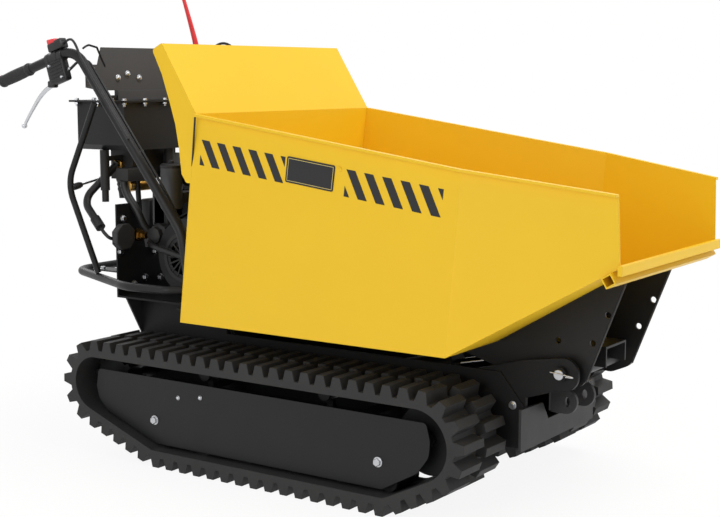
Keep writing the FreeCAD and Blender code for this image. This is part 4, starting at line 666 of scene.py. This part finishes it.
# Engine switch: a black moulded body strapped on top of the right handlebar, with a red
# rocker at its rear end.
SWITCH_PLACE = (-0.6745, -BAR_SIDE, 1.0105)
body = rounded(new_cube("switch_body", (0, 0, 0), (0.050, 0.028, 0.022)), 0.004)
cheek = rounded(new_cube("switch_cheek", (0.012, 0, 0.009), (0.026, 0.022, 0.012)), 0.003)
strap = aimed(turned("switch_strap", [(0.0135, -0.011), (0.0152, -0.010), (0.0152, 0.010),
                                      (0.0135, 0.011)], 28), (0.004, 0, -0.0262), (1, 0, 0))
switch = copy_piece(join_pieces([body, cheek, strap], "switch"), "engine_switch",
                    turn=BAR_TURN, move=SWITCH_PLACE)
bpy.data.objects.remove(bpy.data.objects["switch"])
give(switch, plastic, "chassis")
rocker = rounded(new_cube("rocker", (-0.012, 0, 0.0165), (0.028, 0.021, 0.015)), 0.003)
open_piece(rocker, "VERT", lambda vert: vert.co.z > 0.02 and vert.co.x > -0.01)
bpy.ops.transform.translate(value=(0, 0, -0.003))
close_piece()
rocker_twin = copy_piece(rocker, "switch_rocker", turn=BAR_TURN, move=SWITCH_PLACE)
bpy.data.objects.remove(rocker)
give(rocker_twin, red, "chassis")
lead = piped("switch_lead", [
    (-0.652, -0.25, 1.016), (-0.640, -0.251, 1.0255), (-0.620, -0.253, 1.0285),
    (-0.596, -0.262, 1.012), (-0.580, -0.2655, 0.986), (-0.560, -0.2655, 0.958),
    (-0.500, -0.2655, 0.882), (-0.420, -0.2655, 0.781)], 0.0032)
give(lead, hose_black, "chassis")

# Control panel: three domed screws, a bolt in each wing, a loop of bent black wire that
# guards each corner towards the handlebar, and a rubber foot on the tank's lid below it.
give(repeated(dome_bolt("screw", 0.0092), "panel_screws",
              [(-0.5885, -0.124, 0.9299), (-0.5885, -0.0887, 0.9402), (-0.5885, -0.0459, 0.9297)],
              (1, 0, 0)), zinc, "chassis")
give(repeated(hex_bolt("bolt", 0.007), "panel_wing_bolts",
              [(-0.5885, -0.2165, 0.9530), (-0.5885, 0.2165, 0.9530)], (1, 0, 0)),
     zinc, "chassis")
for sign, side in ((1, "left"), (-1, "right")):
    loop = piped("panel_loop_" + side, [
        (-0.5885, sign * 0.2458, 1.0040), (-0.5885, sign * 0.2360, 1.0100),
        (-0.5885, sign * 0.2249, 1.0129), (-0.5885, sign * 0.2249, 1.0129),
        (-0.5885, sign * 0.1971, 1.0071), (-0.5885, sign * 0.1971, 1.0071),
        (-0.5885, sign * 0.1772, 0.9706), (-0.5885, sign * 0.1700, 0.9600)], 0.0027)
    give(loop, black, "chassis")
    foot = rounded(new_cube("panel_foot_" + side, (-0.5900, sign * 0.1570, 0.8790),
                            (0.020, 0.052, 0.013)), 0.002)
    give(foot, black, "chassis")

# Oil tank: the lid is bolted through a flange on the body, with bolt heads above and nuts
# below. A drain plug and a breather finish it.
front_row = [(-0.5065, y, 0.873) for y in (-0.187, -0.112, -0.037, 0.037, 0.112, 0.187)]
rear_row = [(-0.6905, y, 0.873) for y in (-0.112, -0.037, 0.037, 0.112)]
side_rows = [(x, y, 0.873) for x in (-0.676, -0.600, -0.550) for y in (-0.1875, 0.1875)]
rows = front_row + rear_row + side_rows
give(repeated(hex_bolt("bolt", 0.0062), "lid_bolts", rows, (0, 0, 1)), zinc, "chassis")
give(repeated(thread_nut("nut", 0.0066), "lid_nuts", [(x, y, 0.868) for x, y, z in rows],
              (0, 0, -1)), zinc, "chassis")
give(repeated(hex_bolt("bolt", 0.009), "tank_plugs", [(-0.528, -0.111, 0.745),
                                                     (-0.528, 0.120, 0.745)], (0, 0, -1)),
     zinc, "chassis")
breather = turned("tank_breather", [(0.022, 0), (0.022, 0.010), (0.018, 0.013), (0.018, 0.020),
                                    (0.024, 0.022), (0.024, 0.030), (0.019, 0.036), (0.006, 0.037)],
                  28)
give(aimed(breather, (-0.640, 0.100, 0.873), (0, 0, 1)), plastic, "chassis")

# Hydraulic valve: cast block with a brass elbow, a threaded stub, a spool lever with a
# black knob, and a gold filter under it.
elbow = turned("valve_elbow", [(0.0165, 0), (0.0165, 0.012), (0.014, 0.0135), (0.0125, 0.0136),
                               (0.0125, 0.022)], 6)
give(aimed(elbow, (-0.605, -0.105, 0.703), (0, -1, 0)), brass, "chassis")
rings = [(0.0130, 0), (0.0130, 0.012), (0.0105, 0.013)]
for count in range(8):
    rings += [(0.0105, 0.0145 + count * 0.0042), (0.0090, 0.0166 + count * 0.0042)]
stub = turned("valve_stub", rings + [(0.0095, 0.050), (0.008, 0.052)], 20)
give(aimed(stub, (-0.600, -0.088, 0.665), (0, 0, -1)), plastic, "chassis")
rod_start, rod_end = Vector((-0.640, -0.080, 0.678)), Vector((-0.664, -0.190, 0.6535))
spool_rod = piped("spool_rod", [rod_start, rod_start.lerp(rod_end, 0.3),
                                rod_start.lerp(rod_end, 0.7), rod_end], 0.0032)
give(spool_rod, zinc, "chassis")
knob = turned("spool_knob", [(0.0045, -0.034), (0.0078, -0.031), (0.0092, -0.022), (0.0088, -0.008),
                             (0.0064, 0.0)], 24)
give(aimed(knob, rod_end, rod_start - rod_end), plastic, "chassis")
gold = turned("oil_filter", [(0.0120, 0), (0.0162, 0.002), (0.0162, 0.020), (0.0150, 0.022),
                             (0.0150, 0.030), (0.0162, 0.032), (0.0162, 0.088), (0.0130, 0.092)],
              28)
give(aimed(gold, (-0.578, -0.112, 0.6485), (0, 1, 0)), brass, "chassis")
canister = turned("oil_canister", [(0.0080, 0), (0.0200, 0.004), (0.0250, 0.012), (0.0255, 0.060),
                                   (0.0270, 0.062), (0.0270, 0.074), (0.0200, 0.078),
                                   (0.0130, 0.080), (0.0130, 0.127)], 32)
give(aimed(canister, (-0.535, 0.008, 0.618), (0, 0, 1)), iron, "chassis")
bridge = rounded(new_cube("valve_bridge", (-0.545, 0.028, 0.7135), (0.032, 0.036, 0.034)), 0.003)
give(bridge, alloy, "chassis")

# Below and beside the valve: a moulded relay box hung under it with four screws, the black
# carburettor box, a rubber return pipe from its cast bracket, and the cast oil pump's cover.
relay_box = rounded(new_cube("relay_box", (-0.5625, -0.006, 0.5445), (0.035, 0.112, 0.133)),
                    0.006, 3)
give(relay_box, plastic, "chassis")
give(repeated(dome_bolt("screw", 0.0042), "relay_box_screws",
              [(-0.580, y, z) for y in (-0.052, 0.040) for z in (0.490, 0.599)], (-1, 0, 0)),
     zinc, "chassis")
box = rounded(new_cube("carburettor_box", (-0.470, -0.030, 0.600), (0.058, 0.150, 0.112)), 0.010, 3)
open_piece(box, "FACE", lambda face: face.normal.y < -0.9 or face.normal.x > 0.9)
bpy.ops.mesh.inset(thickness=0.008)
bpy.ops.mesh.extrude_region_move(TRANSFORM_OT_translate={"value": (0.0015, -0.0015, 0)})
close_piece()
give(box, plastic, "chassis")
pipe = piped("return_pipe", [
    (-0.545, -0.155, 0.665), (-0.545, -0.155, 0.640), (-0.500, -0.150, 0.585),
    (-0.492, -0.140, 0.545), (-0.470, -0.105, 0.515), (-0.440, -0.060, 0.498),
    (-0.420, -0.020, 0.490)], 0.0105)
give(pipe, hose_black, "chassis")
bracket = rounded(new_cube("pipe_bracket", (-0.545, -0.118, 0.682), (0.044, 0.090, 0.034)), 0.004)
give(bracket, iron, "chassis")
pump = turned("oil_pump", [(0.024, 0), (0.030, 0.003), (0.030, 0.050), (0.022, 0.056),
                           (0.022, 0.070), (0.012, 0.074)], 8)
give(aimed(pump, (-0.455, -0.075, 0.528), (0, -1, 0)), iron, "chassis")
boot = turned("lever_boot", [(0.0150, 0), (0.0155, 0.004), (0.0125, 0.010), (0.0138, 0.016),
                             (0.0110, 0.022), (0.0122, 0.028), (0.0095, 0.036), (0.0080, 0.052)],
              24)
give(aimed(boot, (-0.618, -0.088, 0.665), (0, 0, -1)), plastic, "chassis")

# Cross plate behind the engine: an eight-sided valve cover, a brass union, and bolts with
# broad washers.
cover = turned("pressure_cover", [(0.0355, 0), (0.0355, 0.013), (0.0330, 0.0155), (0.004, 0.0155)],
               8)
cover.rotation_euler = (0, 0, math.radians(22.5))
settle(cover)
give(aimed(cover, (-0.520, -0.193, 0.527), (1, 0, 0)), plate_black, "chassis")
union = turned("brass_union", [(0.0165, 0), (0.0165, 0.014), (0.0125, 0.015), (0.0125, 0.024),
                               (0.0090, 0.025), (0.0090, 0.036)], 6)
give(aimed(union, (-0.520, -0.140, 0.526), (1, 0, 0)), brass, "chassis")
give(repeated(hex_bolt("bolt", 0.0085), "cross_plate_bolts",
              [(-0.520, -0.1876, 0.572), (-0.520, -0.2000, 0.488), (-0.520, -0.0708, 0.476),
               (-0.520, -0.0131, 0.461), (-0.520, -0.111, 0.411), (-0.520, -0.054, 0.404),
               (-0.520, -0.153, 0.398), (-0.520, 0.190, 0.572), (-0.520, 0.190, 0.480),
               (-0.520, 0.080, 0.470)], (1, 0, 0)), zinc, "chassis")

# Hoop brackets: two folded steel tabs under black coat, bolted between the cross plate and
# the bumper hoop.
TAB_SIDE, TAB_WIDE = 0.172, 0.046
for sign, side in ((1, "left"), (-1, "right")):
    tab = rounded(new_cube("tab", (-0.575, sign * TAB_SIDE, 0.4325), (0.108, TAB_WIDE, 0.004)),
                  0.0012, 1)
    foot = rounded(new_cube("foot", (-0.5265, sign * TAB_SIDE, 0.4505), (0.004, TAB_WIDE, 0.040)),
                   0.0012, 1)
    give(join_pieces([tab, foot], "hoop_tab_" + side), plate_black, "chassis")
    give(repeated(hex_bolt("bolt", 0.0075), "hoop_tab_bolts_" + side,
                  [(-0.558, sign * 0.163, 0.4345), (-0.602, sign * 0.181, 0.4345)], (0, 0, 1)),
         zinc, "chassis")

# Tipping lever: a red plastic sleeve that tapers from the tank's lid to a rounded end.
sleeve = piped("tipping_lever_sleeve", [
    (-0.505, 0.1010, 0.8735), (-0.505, 0.1010, 0.9200), (-0.505, 0.0960, 0.9900),
    (-0.505, 0.0780, 1.0500), (-0.505, 0.0370, 1.1480)], 0.0122, 0.38)
give(sleeve, red, "chassis")
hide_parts("tipping_lever")

# Engine: the pull starter's cover has rolled ribs, a centre cap and a handle on its cord
# guide. The fuel cap, the air cleaner's cap and the muffler's shield are separate pieces.
FAN = Vector((-0.345, -0.155, 0.480))
parts = []
for count in range(16):
    angle = math.radians(count * 22.5)
    rib = rounded(new_cube("rib", (0.0325, 0, 0.0004), (0.040, 0.0052, 0.0030)), 0.0012, 1)
    parts.append(copy_piece(rib, "rib", turn=(0, 0, angle)))
    bpy.data.objects.remove(rib)
parts.append(turned("rim", [(0.0640, -0.001), (0.0640, 0.0012), (0.0600, 0.0016), (0.0540, 0.0016),
                            (0.0535, -0.001)], 40))
parts.append(turned("hub", [(0.0150, -0.002), (0.0150, 0.0026), (0.0110, 0.0040), (0.003, 0.0042)],
                    24))
starter = join_pieces(parts, "starter_cover")
give(aimed(starter, FAN, (0, -1, 0)), iron, "chassis")
handle = rounded(new_cube("starter_handle", (-0.300, -0.160, 0.545), (0.034, 0.013, 0.012)), 0.005,
                 3)
give(handle, plastic, "chassis")
cap = turned("fuel_cap", [(0.0235, 0), (0.0245, 0.003), (0.0245, 0.013), (0.0220, 0.016),
                          (0.0100, 0.017)], 14)
give(aimed(cap, (-0.311, 0.030, 0.738), (0, 0, 1)), plastic, "chassis")
lid = turned("cleaner_lid", [(0.0284, 0), (0.0290, 0.002), (0.0290, 0.007), (0.0250, 0.011),
                             (0.0080, 0.012), (0.0080, 0.018), (0.0050, 0.020)], 32)
give(aimed(lid, (-0.405, -0.128, 0.7035), (0, 0, 1)), plastic, "chassis")
shield = rounded(new_cube("muffler_shield", (-0.340, 0.120, 0.627), (0.110, 0.078, 0.003)), 0.0012,
                 1)
open_piece(shield, "FACE", lambda face: face.normal.z > 0.9)
bpy.ops.mesh.inset(thickness=0.010)
bpy.ops.mesh.extrude_region_move(TRANSFORM_OT_translate={"value": (0, 0, 0.0025)})
close_piece()
give(shield, zinc, "chassis")
plug_wire = piped("ignition_lead", [
    (-0.418, -0.030, 0.640), (-0.436, -0.040, 0.648), (-0.452, -0.060, 0.600),
    (-0.452, -0.085, 0.545), (-0.440, -0.098, 0.520)], 0.0035)
give(plug_wire, hose_black, "chassis")
